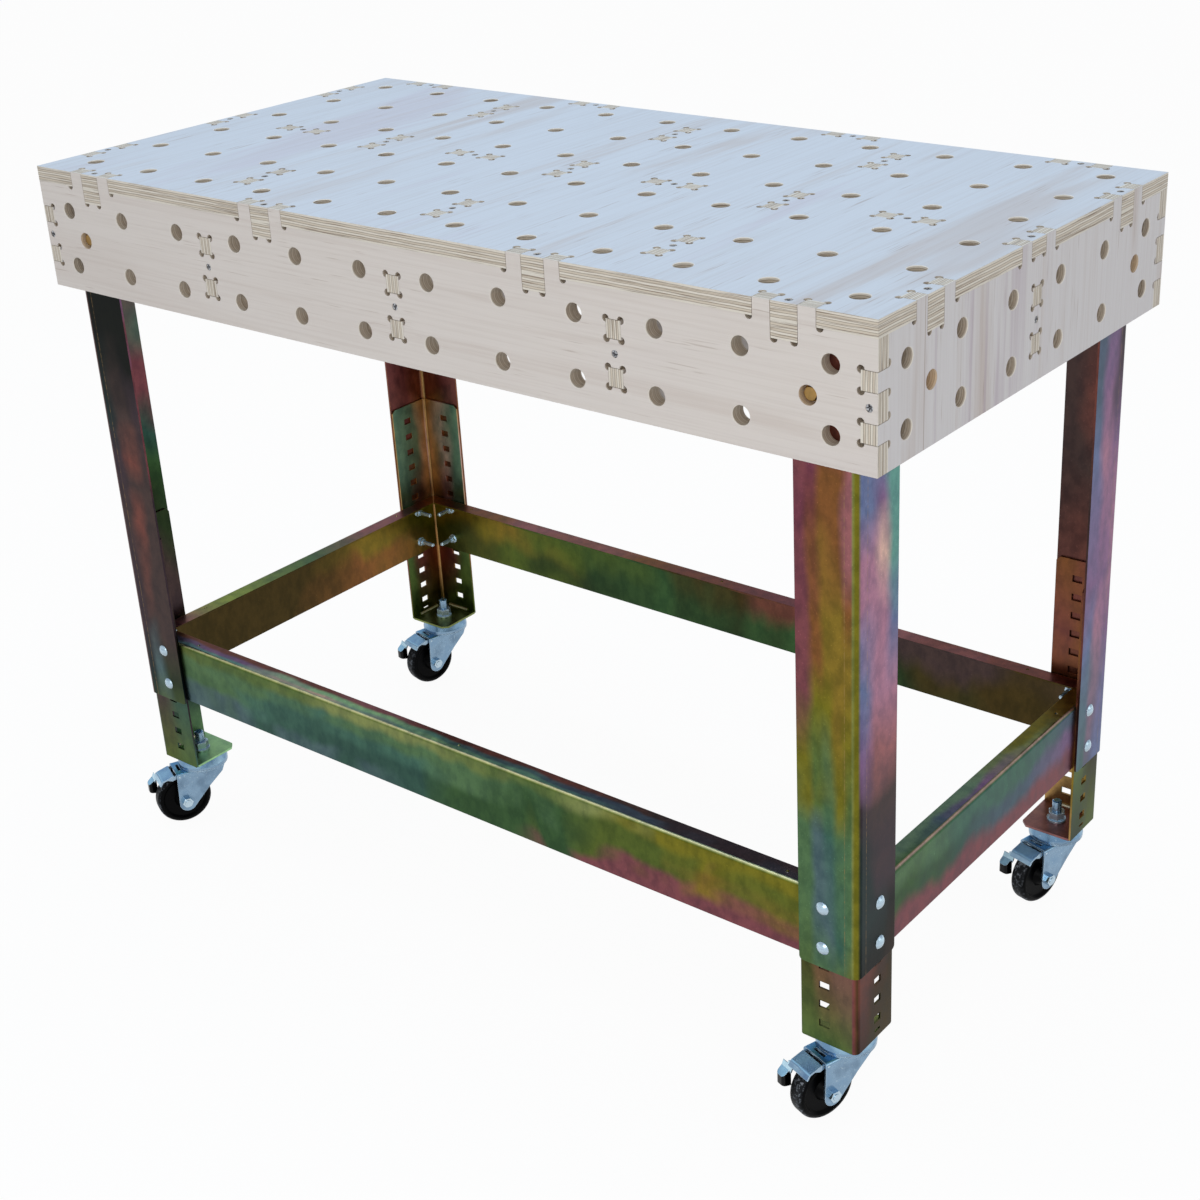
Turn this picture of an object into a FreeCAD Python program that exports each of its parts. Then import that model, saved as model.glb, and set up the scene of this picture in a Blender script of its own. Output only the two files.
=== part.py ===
"""Assembly table: a plywood torsion box on a bolted steel frame with four braked swivel casters.

Units are millimetres. The origin lies on the floor under the middle of the table top,
+X runs along the long side, -Y is the front and +Z is up. Every separate piece is written
as its own STEP file in parts/.
"""
import FreeCAD
import Part
import math
import os

Vector = FreeCAD.Vector
RIGHT = Vector(1, 0, 0)
LEFT = Vector(-1, 0, 0)
BACK = Vector(0, 1, 0)
FRONT = Vector(0, -1, 0)
UP = Vector(0, 0, 1)
DOWN = Vector(0, 0, -1)

past = 1.0                  # how far a cutter runs beyond the face it cuts

# ---- table top box ---------------------------------------------------------------------
table_height = 928.0
top_length = 1200.0
top_width = 600.0
ply = 18.0
apron_drop = 150.0          # underside of the aprons, below the top face

dog_columns = 12
dog_rows = 6
dog_radius = 10.0
dog_chamfer = 0.7
apron_dog_drops = (50.0, 118.6)

tenon_width = 20.0
tenon_offset = 25.0         # tenon middle to the middle of its pair
tenon_ease = 0.25           # taken off each flank of a tenon
mortise_ease = 0.3          # added to each flank of a mortise
relief_radius = 4.1         # cutter radius left in every inner corner
end_tenon_drops = (59.0, 109.0)
edge_screw_drop = 84.0

rib_pitches = (-3.0, 0.0, 3.0)              # cross ribs, in dog columns from the middle
front_pair_pitches = (-5.0, -2.0, 2.0, 5.0)
long_rib_pair_pitches = (-4.5, -1.5, 1.5, 4.5)
side_pair_pitches = (-2.0, 0.0, 2.0)
half_lap_ease = 0.15

side_bore_front = 206.0     # bare through bores of the side aprons, from the middle
side_bore_rear = 226.0
leg_bolt_counterbore = 11.0
leg_pocket = 4.0            # depth of the seat for each leg inside the long aprons
leg_pocket_ease = 0.3

# ---- wood screws -----------------------------------------------------------------------
screw_head_radius = 4.0
screw_shank_radius = 2.0
screw_length = 50.0
screw_point = 3.0           # tapered end
screw_sink = 0.5            # head below the surface
screw_ease = 0.05
recess_reach = 2.3
recess_width = 1.0
recess_depth = 1.6

# ---- steel frame -----------------------------------------------------------------------
sheet = 2.5
leg_side_gap = 10.5         # upper leg to the inner face of the side apron
leg_flange = 73.0
leg_bend = 9.0              # outside radius
leg_bottom = 199.0
foot_bottom = 99.0
lower_leg_length = 350.0
lower_leg_flange = 70.0
lower_leg_bend = 7.0
hole_column = 43.5          # slots and carriage bolts, from the outer faces of the upper leg
leg_bolt_column = 46.0      # leg bolts, likewise
slot_pitch = 25.0
slot_count = 13
slot_width = 13.0
slot_height = 9.0
upper_leg_corner = 5.0
lower_leg_corner = 2.0
lower_leg_chamfer = 5.0
mark_slot_width = 11.0
mark_slot_height = 3.0
mark_slot_rise = 10.0

stretcher_height = 85.0
stretcher_bolt_rise = 19.0  # lowest carriage bolt above the lower edge
stretcher_flange = 25.0
stretcher_bend = 5.0
mitre_gap = 0.7
panel_hole_radius = 2.0
panel_hole_inset = 89.0     # outer flange holes, from the end of the web

foot_plate_thickness = 3.0
foot_plate_chamfer = 8.0
weld_radius = 3.0
weld_length = 38.0

# ---- metric fasteners ------------------------------------------------------------------
leg_bolt_radius = 4.0
leg_bolt_hole_radius = 4.25
leg_bolt_flats = 13.0
leg_bolt_head = 5.3
leg_bolt_length = 20.0
leg_nut_height = 6.5
leg_washer_radius = 9.0
leg_washer_thickness = 1.6

carriage_slots = (7, 9)     # slots used, counted down from the top of the lower leg
carriage_radius = 3.0
web_hole_radius = 3.3       # round holes of the stretchers for the carriage bolts
carriage_head_radius = 8.0
carriage_head_height = 3.8
carriage_neck = 6.4
carriage_neck_hole = 7.0
carriage_neck_length = 4.0
carriage_length = 35.0
carriage_tip_chamfer = 1.0
carriage_nut_flats = 10.0
carriage_nut_height = 6.0
carriage_nut_flange_radius = 7.0
carriage_nut_flange = 1.2
thread_ease = 0.05

# ---- casters ---------------------------------------------------------------------------
wheel_radius = 37.5
wheel_width = 22.0
wheel_edge_radius = 6.0
wheel_rim_radius = 28.0
wheel_web_radius = 15.0
wheel_recess = 3.0
hub_radius = 9.0
hub_gap = 0.3
caster_trail = 35.0
caster_headings = {"front_right": -108.5, "front_left": -114.5, "rear_left": -103.0, "rear_right": -103.5}

fork_width = 40.0
fork_front = 43.5
fork_back = 24.0
fork_top_gap = 4.5          # wheel to the underside of the fork's top
fork_bend = 3.5
fork_end_radius = 12.0
fork_end_back = 1.5         # middle of the round end, behind and below the axle
fork_end_drop = 3.5
fork_heel = (-20.0, 70.0)
fork_waist = (0.0, 52.0)
fork_shin = (20.0, 31.0)
fork_slot_back = 34.6
fork_slot_front = 38.6
fork_slot_half = 9.0

race_gap = 0.3
crown_inner_radius = 24.0
crown_rise = 2.4
crown_edge = 2.0            # thickness of the crown's rim
cap_radius = 34.0
cap_rim_height = 3.5
cap_top_radius = 31.0
cap_skirt = 3.0
race_ball_radius = 3.175
race_ball_circle = 20.0
race_ball_count = 16
kingpin_radius = 5.0
kingpin_head_radius = 9.0
kingpin_head_height = 3.0

stem_radius = 6.0
stem_top = 130.0
stem_tip_chamfer = 1.5
stem_nut_flats = 19.0
stem_nut_height = 10.0
stem_washer_radius = 12.0
stem_washer_thickness = 2.5
stem_hole_radius = 6.25

axle_radius = 4.0
axle_flats = 13.0
axle_head = 5.3
axle_nut_height = 6.5
axle_bolt_reach = 27.3      # bolt end, from the middle of the wheel

pedal_sheet = 2.0
pedal_width = 33.2
hood_start = (47.0, 79.8)   # outer face of the hood, with its fold
hood_fold = (63.5, 75.0)
hood_end = (67.8, 69.0)
hood_bend = 3.0             # inside radius of the fold
ear_top = (48.5, 78.4)
ear_front = (57.5, 75.5)
ear_low = (49.3, 72.2)
pedal_pin_u = 40.0
pedal_pin_drop = 2.4        # pin below the underside of the fork's top
pedal_pin_radius = 1.3
pedal_eye_radius = 2.1
arm_top = (64.9, 73.0)      # outer face of the arm from the hood down to the tongue
tongue_root = (69.0, 64.5)
tongue_tip = (77.0, 58.0)
tongue_back = 66.0
tongue_near = -13.5
tongue_far = -26.5
tongue_corner = 4.0
arm_near = -10.0
arm_far = -19.0
skirt_tip_z = 46.0
skirt_root_z = 43.0

# ---- derived levels and places ---------------------------------------------------------
half_length = top_length / 2
half_width = top_width / 2
inner_x = half_length - ply
inner_y = half_width - ply
dog_pitch_x = top_length / dog_columns
dog_pitch_y = top_width / dog_rows

top_z = table_height
panel_z = top_z - ply
box_z = panel_z - ply
apron_z = top_z - apron_drop

rib_xs = [pitch * dog_pitch_x for pitch in rib_pitches]
front_pair_xs = [pitch * dog_pitch_x for pitch in front_pair_pitches]
long_rib_pair_xs = [pitch * dog_pitch_x for pitch in long_rib_pair_pitches]
side_pair_ys = [pitch * dog_pitch_y for pitch in side_pair_pitches]
deep_side_pair_ys = [y for y in side_pair_ys if y != 0]
edge_screw_z = top_z - edge_screw_drop
end_tenon_zs = [top_z - drop for drop in end_tenon_drops]

leg_x = inner_x - leg_side_gap
leg_y = inner_y + leg_pocket
column_x = leg_x - hole_column
column_y = leg_y - hole_column
foot_x = leg_x - sheet
foot_y = leg_y - sheet
web_x = foot_x - sheet
web_y = foot_y - sheet
leg_bolt_x = leg_x - leg_bolt_column
foot_free_x = foot_x - lower_leg_flange
foot_free_y = foot_y - lower_leg_flange
stem_x = (web_x + foot_free_x) / 2
stem_y = (web_y + foot_free_y) / 2
foot_top = foot_bottom + lower_leg_length
carriage_zs = [foot_top - slot_pitch * number for number in carriage_slots]
stretcher_bottom = min(carriage_zs) - stretcher_bolt_rise
stretcher_top = stretcher_bottom + stretcher_height
stretcher_end_gap = lower_leg_bend - sheet  # webs stop where the lower leg's inner bend begins

fork_top_z = 2 * wheel_radius + fork_top_gap + sheet
fork_half = fork_width / 2
cap_bottom_z = fork_top_z + crown_rise + race_gap
pedal_pin_z = fork_top_z - sheet - pedal_pin_drop
corners = {
    "front_right": (1, -1),
    "front_left": (-1, -1),
    "rear_left": (-1, 1),
    "rear_right": (1, 1),
}


# ---- shape helpers ---------------------------------------------------------------------
def block(xs, ys, zs):
    """Box between two limits on each axis."""
    size = [high - low for low, high in (xs, ys, zs)]
    return Part.makeBox(*size, Vector(xs[0], ys[0], zs[0]))


def span(middle, half):
    """Limits that lie half to each side of the middle."""
    return (middle - half, middle + half)


def joined(shapes):
    """One solid from touching or overlapping solids, without seams on flat faces."""
    return shapes[0].fuse(shapes[1:]).removeSplitter()


def outline_face(points):
    """Flat face inside a closed run of straight edges."""
    return Part.Face(Part.makePolygon(points + points[:1]))


def turned(profile):
    """Solid of revolution about Z of a closed outline of (radius, height) points."""
    face = outline_face([Vector(radius, 0, height) for radius, height in profile])
    return face.revolve(Vector(0, 0, 0), UP, 360)


def hexagon(flats, height, base=0.0):
    """Upright hexagonal prism across the given flats."""
    reach = flats / math.sqrt(3)
    angles = [math.radians(60 * side) for side in range(6)]
    points = [Vector(reach * math.cos(angle), reach * math.sin(angle), base) for angle in angles]
    return outline_face(points).extrude(UP * height)


def chamfered_hexagon(flats, height, base=0.0):
    """Hexagonal prism with the round bevel of a nut or bolt head on its free end."""
    reach = flats / math.sqrt(3)
    bevel = reach - flats / 2
    top = base + height
    cone = turned([(0, base), (reach, base), (reach, top - bevel / 2), (flats / 2, top), (0, top)])
    return hexagon(flats, height, base).common(cone)


def turn_to(shape, direction, place):
    """Shape built along +Z, turned to point along a direction and moved to a place."""
    result = shape.copy()
    result.Placement = FreeCAD.Placement(place, FreeCAD.Rotation(UP, direction))
    return result


def moved(shape, place):
    """Copy of a shape shifted by a vector."""
    result = shape.copy()
    result.translate(place)
    return result


def in_corner(shape, side_x, side_y):
    """Shape drawn in the rear right quarter, mirrored into another quarter."""
    result = shape
    if side_x < 0:
        result = result.mirror(Vector(0, 0, 0), Vector(1, 0, 0))
    if side_y < 0:
        result = result.mirror(Vector(0, 0, 0), Vector(0, 1, 0))
    return result


def centred(count, pitch):
    """Evenly spaced places about zero."""
    return [(index - (count - 1) / 2) * pitch for index in range(count)]


# ---- boards, drawn flat: X along the board, Y across it, thickness up from zero --------
def stand_along_x(board, face_y):
    """Board stood upright along X, its drawn face at face_y and its thickness towards -Y."""
    board.Placement = FreeCAD.Placement(Vector(0, face_y, 0), FreeCAD.Rotation(RIGHT, 90))
    return board


def stand_along_y(board, face_x):
    """Board stood upright along Y, its drawn face at face_x and its thickness towards +X."""
    board.Placement = FreeCAD.Placement(Vector(face_x, 0, 0), FreeCAD.Rotation(Vector(1, 1, 1), 120))
    return board


def flat_cut(xs, ys):
    """Cutter through a flat board between two limits each way."""
    return block(xs, ys, (-past, ply + past))


def bore(x, y, radius):
    """Cutter for a plain round hole through a flat board."""
    return Part.makeCylinder(radius, ply + 2 * past, Vector(x, y, -past))


def dog_hole(x, y):
    """Cutter for a dog hole with a light chamfer at the board's outer face."""
    mouth_radius = dog_radius + dog_chamfer + past
    profile = [
        (0, -past), (dog_radius, -past), (dog_radius, ply - dog_chamfer),
        (mouth_radius, ply + past), (0, ply + past),
    ]
    return moved(turned(profile), Vector(x, y, 0))


def relieved_mortise(x, y, half_x, half_y):
    """Cutters for a rectangular mortise with the cutter's round in each corner."""
    cutters = [flat_cut(span(x, half_x), span(y, half_y))]
    for corner_x in span(x, half_x):
        for corner_y in span(y, half_y):
            cutters.append(bore(corner_x, corner_y, relief_radius))
    return cutters


def tenon_pair(middle, shoulder, height):
    """The two tenons of a pair that stand up from a board's shoulder line."""
    half = tenon_width / 2 - tenon_ease
    tenons = []
    for offset in span(middle, tenon_offset):
        tenons.append(block(span(offset, half), (shoulder - past, shoulder + height), (0, ply)))
    return tenons


def pair_reliefs(middle, shoulder, floor):
    """Rounds beside a tenon pair: outside at the shoulder, between the tenons at the slot's floor."""
    outer = tenon_offset + tenon_width / 2 - tenon_ease + relief_radius
    inner = tenon_offset - tenon_width / 2 + tenon_ease - relief_radius
    cutters = [bore(place, shoulder, relief_radius) for place in span(middle, outer)]
    cutters += [bore(place, floor, relief_radius) for place in span(middle, inner)]
    return cutters


def pair_slot(middle, floor):
    """Cutter for the slot between the two tenons of a pair, down to its floor."""
    inner = tenon_offset - tenon_width / 2 + tenon_ease
    return flat_cut(span(middle, inner), (floor, top_z + past))


def end_tenons(reach):
    """Tenons at both ends of a board whose shoulders are at plus and minus reach."""
    half = tenon_width / 2 - tenon_ease
    tenons = []
    for level in end_tenon_zs:
        for xs in ((-reach - ply, -reach + past), (reach - past, reach + ply)):
            tenons.append(block(xs, span(level, half), (0, ply)))
    return tenons


def end_tenon_reliefs(reach):
    """Rounds beside the end tenons, cut into the shoulders and flush with the tenons' flanks."""
    offset = tenon_width / 2 - tenon_ease + relief_radius
    cutters = []
    for level in end_tenon_zs:
        for place in span(level, offset):
            cutters += [bore(reach, place, relief_radius), bore(-reach, place, relief_radius)]
    return cutters


# ---- table top -------------------------------------------------------------------------
def top_layer(face_z, half_x, half_y, hole):
    """Horizontal board with the dog holes and the rib mortises; its underside is at face_z."""
    board = block((-half_x, half_x), (-half_y, half_y), (0, ply))
    half_tenon = tenon_width / 2 + mortise_ease
    half_ply = ply / 2 + mortise_ease
    cutters = []
    for x in centred(dog_columns, dog_pitch_x):
        for y in centred(dog_rows, dog_pitch_y):
            cutters.append(hole(x, y))
    for rib_x in rib_xs:
        for pair_y in side_pair_ys:
            for y in span(pair_y, tenon_offset):
                cutters += relieved_mortise(rib_x, y, half_ply, half_tenon)
    for pair_x in long_rib_pair_xs:
        for x in span(pair_x, tenon_offset):
            cutters += relieved_mortise(x, 0, half_tenon, half_ply)
    return moved(board.cut(cutters), Vector(0, 0, face_z))


def edge_notches():
    """Cutters for the notches along the edges of the top panel, with round inner corners."""
    half = tenon_width / 2 + mortise_ease
    cutters = []
    for pair_x in front_pair_xs:
        for x in span(pair_x, tenon_offset):
            for ys in ((-half_width - past, -inner_y), (inner_y, half_width + past)):
                cutters.append(flat_cut(span(x, half), ys))
            for corner_x in span(x, half):
                cutters += [bore(corner_x, -inner_y, relief_radius), bore(corner_x, inner_y, relief_radius)]
    for pair_y in side_pair_ys:
        for y in span(pair_y, tenon_offset):
            for xs in ((-half_length - past, -inner_x), (inner_x, half_length + past)):
                cutters.append(flat_cut(xs, span(y, half)))
            for corner_y in span(y, half):
                cutters += [bore(-inner_x, corner_y, relief_radius), bore(inner_x, corner_y, relief_radius)]
    return [moved(cutter, Vector(0, 0, panel_z)) for cutter in cutters]


def top_panel():
    """Upper layer of the table top, notched at its edges for the aprons' tenons."""
    return top_layer(panel_z, half_length, half_width, dog_hole).cut(edge_notches())


def sub_top():
    """Second layer, between the aprons, with tabs that fill the slots between their tenons."""
    board = top_layer(box_z, inner_x, inner_y, lambda x, y: bore(x, y, dog_radius))
    half_tab = tenon_offset - tenon_width / 2 - mortise_ease
    zs = (box_z, panel_z)
    tabs = []
    for x in front_pair_xs:
        tabs.append(block(span(x, half_tab), (-half_width, past - inner_y), zs))
        tabs.append(block(span(x, half_tab), (inner_y - past, half_width), zs))
    for y in deep_side_pair_ys:
        tabs.append(block((-half_length, past - inner_x), span(y, half_tab), zs))
        tabs.append(block((inner_x - past, half_length), span(y, half_tab), zs))
    return joined([board] + tabs)


# ---- aprons and ribs -------------------------------------------------------------------
def front_board():
    """Long apron, drawn flat with its outer face up."""
    parts = [block((-half_length, half_length), (apron_z, panel_z), (0, ply))]
    cutters = []
    for x in front_pair_xs:
        parts += tenon_pair(x, panel_z, ply)
        cutters += pair_reliefs(x, panel_z, box_z)
        cutters.append(pair_slot(x, box_z))
    half_tenon = tenon_width / 2 + mortise_ease
    for level in end_tenon_zs:
        for x in rib_xs:
            cutters += relieved_mortise(x, level, ply / 2 + mortise_ease, half_tenon)
        cutters.append(flat_cut((-half_length - past, -inner_x), span(level, half_tenon)))
        cutters.append(flat_cut((inner_x, half_length + past), span(level, half_tenon)))
        for corner_z in span(level, half_tenon):
            cutters += [bore(-inner_x, corner_z, relief_radius), bore(inner_x, corner_z, relief_radius)]
    for x in centred(dog_columns, dog_pitch_x):
        cutters += [dog_hole(x, top_z - drop) for drop in apron_dog_drops]
    for x in (-leg_bolt_x, leg_bolt_x):
        cutters.append(bore(x, edge_screw_z, leg_bolt_hole_radius))
        seat = Vector(x, edge_screw_z, ply - leg_bolt_counterbore)
        cutters.append(Part.makeCylinder(dog_radius, leg_bolt_counterbore + past, seat))
    for side in (-1, 1):
        xs = span(side * (leg_x - leg_flange / 2), leg_flange / 2 + leg_pocket_ease)
        cutters.append(block(xs, (apron_z - past, box_z), (-past, leg_pocket)))
    return joined(parts).cut(cutters)


def side_board():
    """Short apron between the long ones, drawn flat with its outer face up."""
    parts = [block((-inner_y, inner_y), (apron_z, panel_z), (0, ply))] + end_tenons(inner_y)
    cutters = end_tenon_reliefs(inner_y)
    for y in side_pair_ys:
        floor = box_z if y in deep_side_pair_ys else panel_z
        parts += tenon_pair(y, panel_z, ply)
        cutters += pair_reliefs(y, panel_z, floor)
        cutters.append(pair_slot(y, floor))
    for level in end_tenon_zs:
        cutters += relieved_mortise(0, level, ply / 2 + mortise_ease, tenon_width / 2 + mortise_ease)
    for y in centred(dog_rows, dog_pitch_y):
        cutters += [dog_hole(y, top_z - drop) for drop in apron_dog_drops]
    cutters.append(bore(-side_bore_front, edge_screw_z, dog_radius))
    cutters.append(bore(side_bore_rear, edge_screw_z, dog_radius))
    return joined(parts).cut(cutters)


def rib_board(reach, pairs, crossings, lap):
    """Rib under the top, drawn flat, with tenons on top and at its ends and half-lap slots."""
    parts = [block((-reach, reach), (apron_z, box_z), (0, ply))] + end_tenons(reach)
    cutters = end_tenon_reliefs(reach)
    for middle in pairs:
        parts += tenon_pair(middle, box_z, 2 * ply)
    for crossing in crossings:
        cutters.append(flat_cut(span(crossing, ply / 2 + half_lap_ease), lap))
    return joined(parts).cut(cutters)


def cross_rib(x):
    """Rib from front to rear, slotted from below where it crosses the long rib."""
    lap_z = (apron_z + box_z) / 2
    board = rib_board(inner_y, side_pair_ys, [0], (apron_z - past, lap_z + half_lap_ease))
    return stand_along_y(board, x - ply / 2)


def long_rib():
    """Rib from side to side, slotted from above where it crosses the cross ribs."""
    lap_z = (apron_z + box_z) / 2
    board = rib_board(inner_x, long_rib_pair_xs, rib_xs, (lap_z - half_lap_ease, box_z + past))
    return stand_along_x(board, ply / 2)


# ---- wood screws -----------------------------------------------------------------------
def screw_outline(ease, point):
    """Lower part of a countersunk screw's outline, from the head's edge down to the tip."""
    shank = screw_shank_radius + ease
    cone_end = -screw_sink - (screw_head_radius - screw_shank_radius)
    return [
        (screw_head_radius + ease, -screw_sink), (shank, cone_end), (shank, point - screw_length),
        (0, -screw_length),
    ]


def wood_screw():
    """Countersunk wood screw with a cross recess; the board's surface is at zero."""
    screw = turned([(0, -screw_sink)] + screw_outline(0.0, screw_point))
    bottom = -screw_sink - recess_depth
    recess = [
        block(span(0, recess_reach), span(0, recess_width / 2), (bottom, 0)),
        block(span(0, recess_width / 2), span(0, recess_reach), (bottom, 0)),
    ]
    return screw.cut(recess)


def screw_hole():
    """Cutter for a countersunk hole that takes a wood screw."""
    return turned([(0, past), (screw_head_radius + screw_ease, past)] + screw_outline(screw_ease, 0.0))


def top_screw_places():
    """Places and directions of the screws in the table top."""
    edge_y = (half_width + inner_y) / 2
    edge_x = (half_length + inner_x) / 2
    places = [(x, y) for x in front_pair_xs for y in (-edge_y, edge_y)]
    places += [(x, y) for x in (-edge_x, edge_x) for y in side_pair_ys]
    places += [(x, y) for x in rib_xs for y in side_pair_ys]
    places += [(x, 0) for x in long_rib_pair_xs]
    return [(Vector(x, y, top_z), UP) for x, y in places]


def apron_screw_places():
    """Places and directions of the screws in the aprons' outer faces."""
    edge_x = (half_length + inner_x) / 2
    places = []
    for x in [-edge_x, edge_x] + rib_xs:
        for side in (-1, 1):
            places.append((Vector(x, side * half_width, edge_screw_z), BACK * side))
    for side in (-1, 1):
        places.append((Vector(side * half_length, 0, edge_screw_z), RIGHT * side))
    return places


def drilled(board, screw_holes):
    """Board cut by the screw holes that reach it."""
    reached = [hole for hole in screw_holes if hole.BoundBox.intersect(board.BoundBox)]
    return board.cut(reached)


# ---- steel frame, drawn in the rear right quarter --------------------------------------
def angle_section(corner, arm_a, arm_b, length_a, length_b, bend):
    """Section of bent sheet: outer corner, directions and lengths of both arms, outside bend radius."""
    centre = corner + (arm_a + arm_b) * bend
    outward = (arm_a + arm_b) * -math.sqrt(0.5)
    inner = bend - sheet
    end_a = corner + arm_a * length_a
    end_b = corner + arm_b * length_b
    outer_a = centre - arm_b * bend
    outer_b = centre - arm_a * bend
    inner_a = centre - arm_b * inner
    inner_b = centre - arm_a * inner
    edges = [
        Part.makeLine(end_a, outer_a),
        Part.Arc(outer_a, centre + outward * bend, outer_b).toShape(),
        Part.makeLine(outer_b, end_b),
        Part.makeLine(end_b, end_b + arm_a * sheet),
        Part.makeLine(end_b + arm_a * sheet, inner_b),
        Part.Arc(inner_b, centre + outward * inner, inner_a).toShape(),
        Part.makeLine(inner_a, end_a + arm_b * sheet),
        Part.makeLine(end_a + arm_b * sheet, end_a),
    ]
    return Part.Face(Part.Wire(edges))


def corner_rounders(corner_x, corner_y, flange, z, radius):
    """Cutters that round the two free bottom corners of a leg's flanges."""
    free_x = corner_x - flange
    free_y = corner_y - flange
    depth = sheet + past
    zs = (z - past, z + radius)
    rear = block((free_x - past, free_x + radius), span(corner_y, depth), zs)
    rear_axis = Vector(free_x + radius, corner_y - depth, z + radius)
    side = block(span(corner_x, depth), (free_y - past, free_y + radius), zs)
    side_axis = Vector(corner_x - depth, free_y + radius, z + radius)
    return [
        rear.cut(Part.makeCylinder(radius, 2 * depth, rear_axis, BACK)),
        side.cut(Part.makeCylinder(radius, 2 * depth, side_axis, RIGHT)),
    ]


def corner_chamfers(corner_x, corner_y, flange, z, reach):
    """Cutters that chamfer the two free top corners of a leg's flanges."""
    free_x = corner_x - flange
    free_y = corner_y - flange
    depth = sheet + past
    rear = [
        Vector(free_x, corner_y - depth, z - reach),
        Vector(free_x, corner_y - depth, z),
        Vector(free_x + reach, corner_y - depth, z),
    ]
    side = [
        Vector(corner_x - depth, free_y, z - reach),
        Vector(corner_x - depth, free_y, z),
        Vector(corner_x - depth, free_y + reach, z),
    ]
    return [outline_face(rear).extrude(BACK * 2 * depth), outline_face(side).extrude(RIGHT * 2 * depth)]


def face_windows(half_wide, half_high, levels):
    """Square cutters through both faces of a leg on its bolt columns."""
    cutters = []
    for z in levels:
        zs = span(z, half_high)
        cutters.append(block(span(column_x, half_wide), (web_y - past, leg_y + past), zs))
        cutters.append(block((web_x - past, leg_x + past), span(column_y, half_wide), zs))
    return cutters


def upper_leg():
    """Upper leg: bent angle bolted to the long apron, up to the underside of the box."""
    section = angle_section(Vector(leg_x, leg_y, leg_bottom), LEFT, FRONT, leg_flange, leg_flange, leg_bend)
    leg = section.extrude(UP * (box_z - leg_bottom))
    cutters = corner_rounders(leg_x, leg_y, leg_flange, leg_bottom, upper_leg_corner)
    cutters += face_windows(carriage_neck_hole / 2, carriage_neck_hole / 2, carriage_zs)
    hole_start = Vector(leg_bolt_x, leg_y - sheet - past, edge_screw_z)
    cutters.append(Part.makeCylinder(leg_bolt_hole_radius, sheet + 2 * past, hole_start, BACK))
    return leg.cut(cutters)


def lower_leg():
    """Lower leg: bent angle inside the upper one, with a column of adjustment slots on each face."""
    corner = Vector(foot_x, foot_y, foot_bottom)
    section = angle_section(corner, LEFT, FRONT, lower_leg_flange, lower_leg_flange, lower_leg_bend)
    leg = section.extrude(UP * lower_leg_length)
    levels = [foot_top - slot_pitch * (index + 1) for index in range(slot_count)]
    cutters = corner_rounders(foot_x, foot_y, lower_leg_flange, foot_bottom, lower_leg_corner)
    cutters += corner_chamfers(foot_x, foot_y, lower_leg_flange, foot_top, lower_leg_chamfer)
    cutters += face_windows(slot_width / 2, slot_height / 2, levels)
    mark_z = span(foot_bottom + mark_slot_rise, mark_slot_height / 2)
    cutters.append(block((web_x - past, foot_x + past), span(column_y, mark_slot_width / 2), mark_z))
    return leg.cut(cutters)


def foot_plate():
    """Plate welded inside the bottom of the lower leg, with the hole for the caster's stem."""
    points = [
        Vector(web_x, foot_free_y, foot_bottom),
        Vector(web_x, web_y - lower_leg_bend, foot_bottom),
        Vector(web_x - lower_leg_bend, web_y, foot_bottom),
        Vector(foot_free_x, web_y, foot_bottom),
        Vector(foot_free_x, foot_free_y + foot_plate_chamfer, foot_bottom),
        Vector(foot_free_x + foot_plate_chamfer, foot_free_y, foot_bottom),
    ]
    plate = outline_face(points).extrude(UP * foot_plate_thickness)
    hole_start = Vector(stem_x, stem_y, foot_bottom - past)
    return plate.cut(Part.makeCylinder(stem_hole_radius, foot_plate_thickness + 2 * past, hole_start))


def foot_weld_beads():
    """Two fillet weld beads between a foot plate and the leg's inner faces."""
    z = foot_bottom + foot_plate_thickness
    along_x = Vector(stem_x - weld_length / 2, web_y, z)
    along_y = Vector(web_x, stem_y - weld_length / 2, z)
    rear = Part.makeCylinder(weld_radius, weld_length, along_x, RIGHT)
    side = Part.makeCylinder(weld_radius, weld_length, along_y, BACK)
    room = block((web_x - leg_flange, web_x), (web_y - leg_flange, web_y), (z, z + 2 * weld_radius))
    return [rear.common(room), side.common(room)]


def stretcher(corner, inward, run):
    """Stretcher with its web outside and its flange on top, from its outer top corner along its run."""
    section = angle_section(corner, inward, DOWN, stretcher_flange, stretcher_height, stretcher_bend)
    return section.extrude(run)


def mitre_cutter(side):
    """Prism on one side of the mitre line at the rear right corner: +1 towards +Y, -1 towards +X."""
    reach = 4 * stretcher_flange
    x = web_x + side * mitre_gap / 2
    z = stretcher_bottom - past
    points = [
        Vector(x - reach, web_y - reach, z),
        Vector(x + reach, web_y + reach, z),
        Vector(x - side * reach, web_y + side * reach, z),
    ]
    return outline_face(points).extrude(UP * (stretcher_height + 2 * past))


def four_ways(shape):
    """The shape mirrored into all four quarters."""
    return [in_corner(shape, side_x, side_y) for side_x, side_y in corners.values()]


def web_hole(place, direction):
    """Cutter for a carriage bolt's round hole through a stretcher's web."""
    hole = Part.makeCylinder(web_hole_radius, sheet + 2 * past, Vector(0, 0, -sheet - past))
    return turn_to(hole, direction, place)


def flange_hole(x, y):
    """Cutter for a small hole through a stretcher's flange."""
    z = stretcher_top - sheet - past
    return Part.makeCylinder(panel_hole_radius, sheet + 2 * past, Vector(x, y, z))


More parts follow.
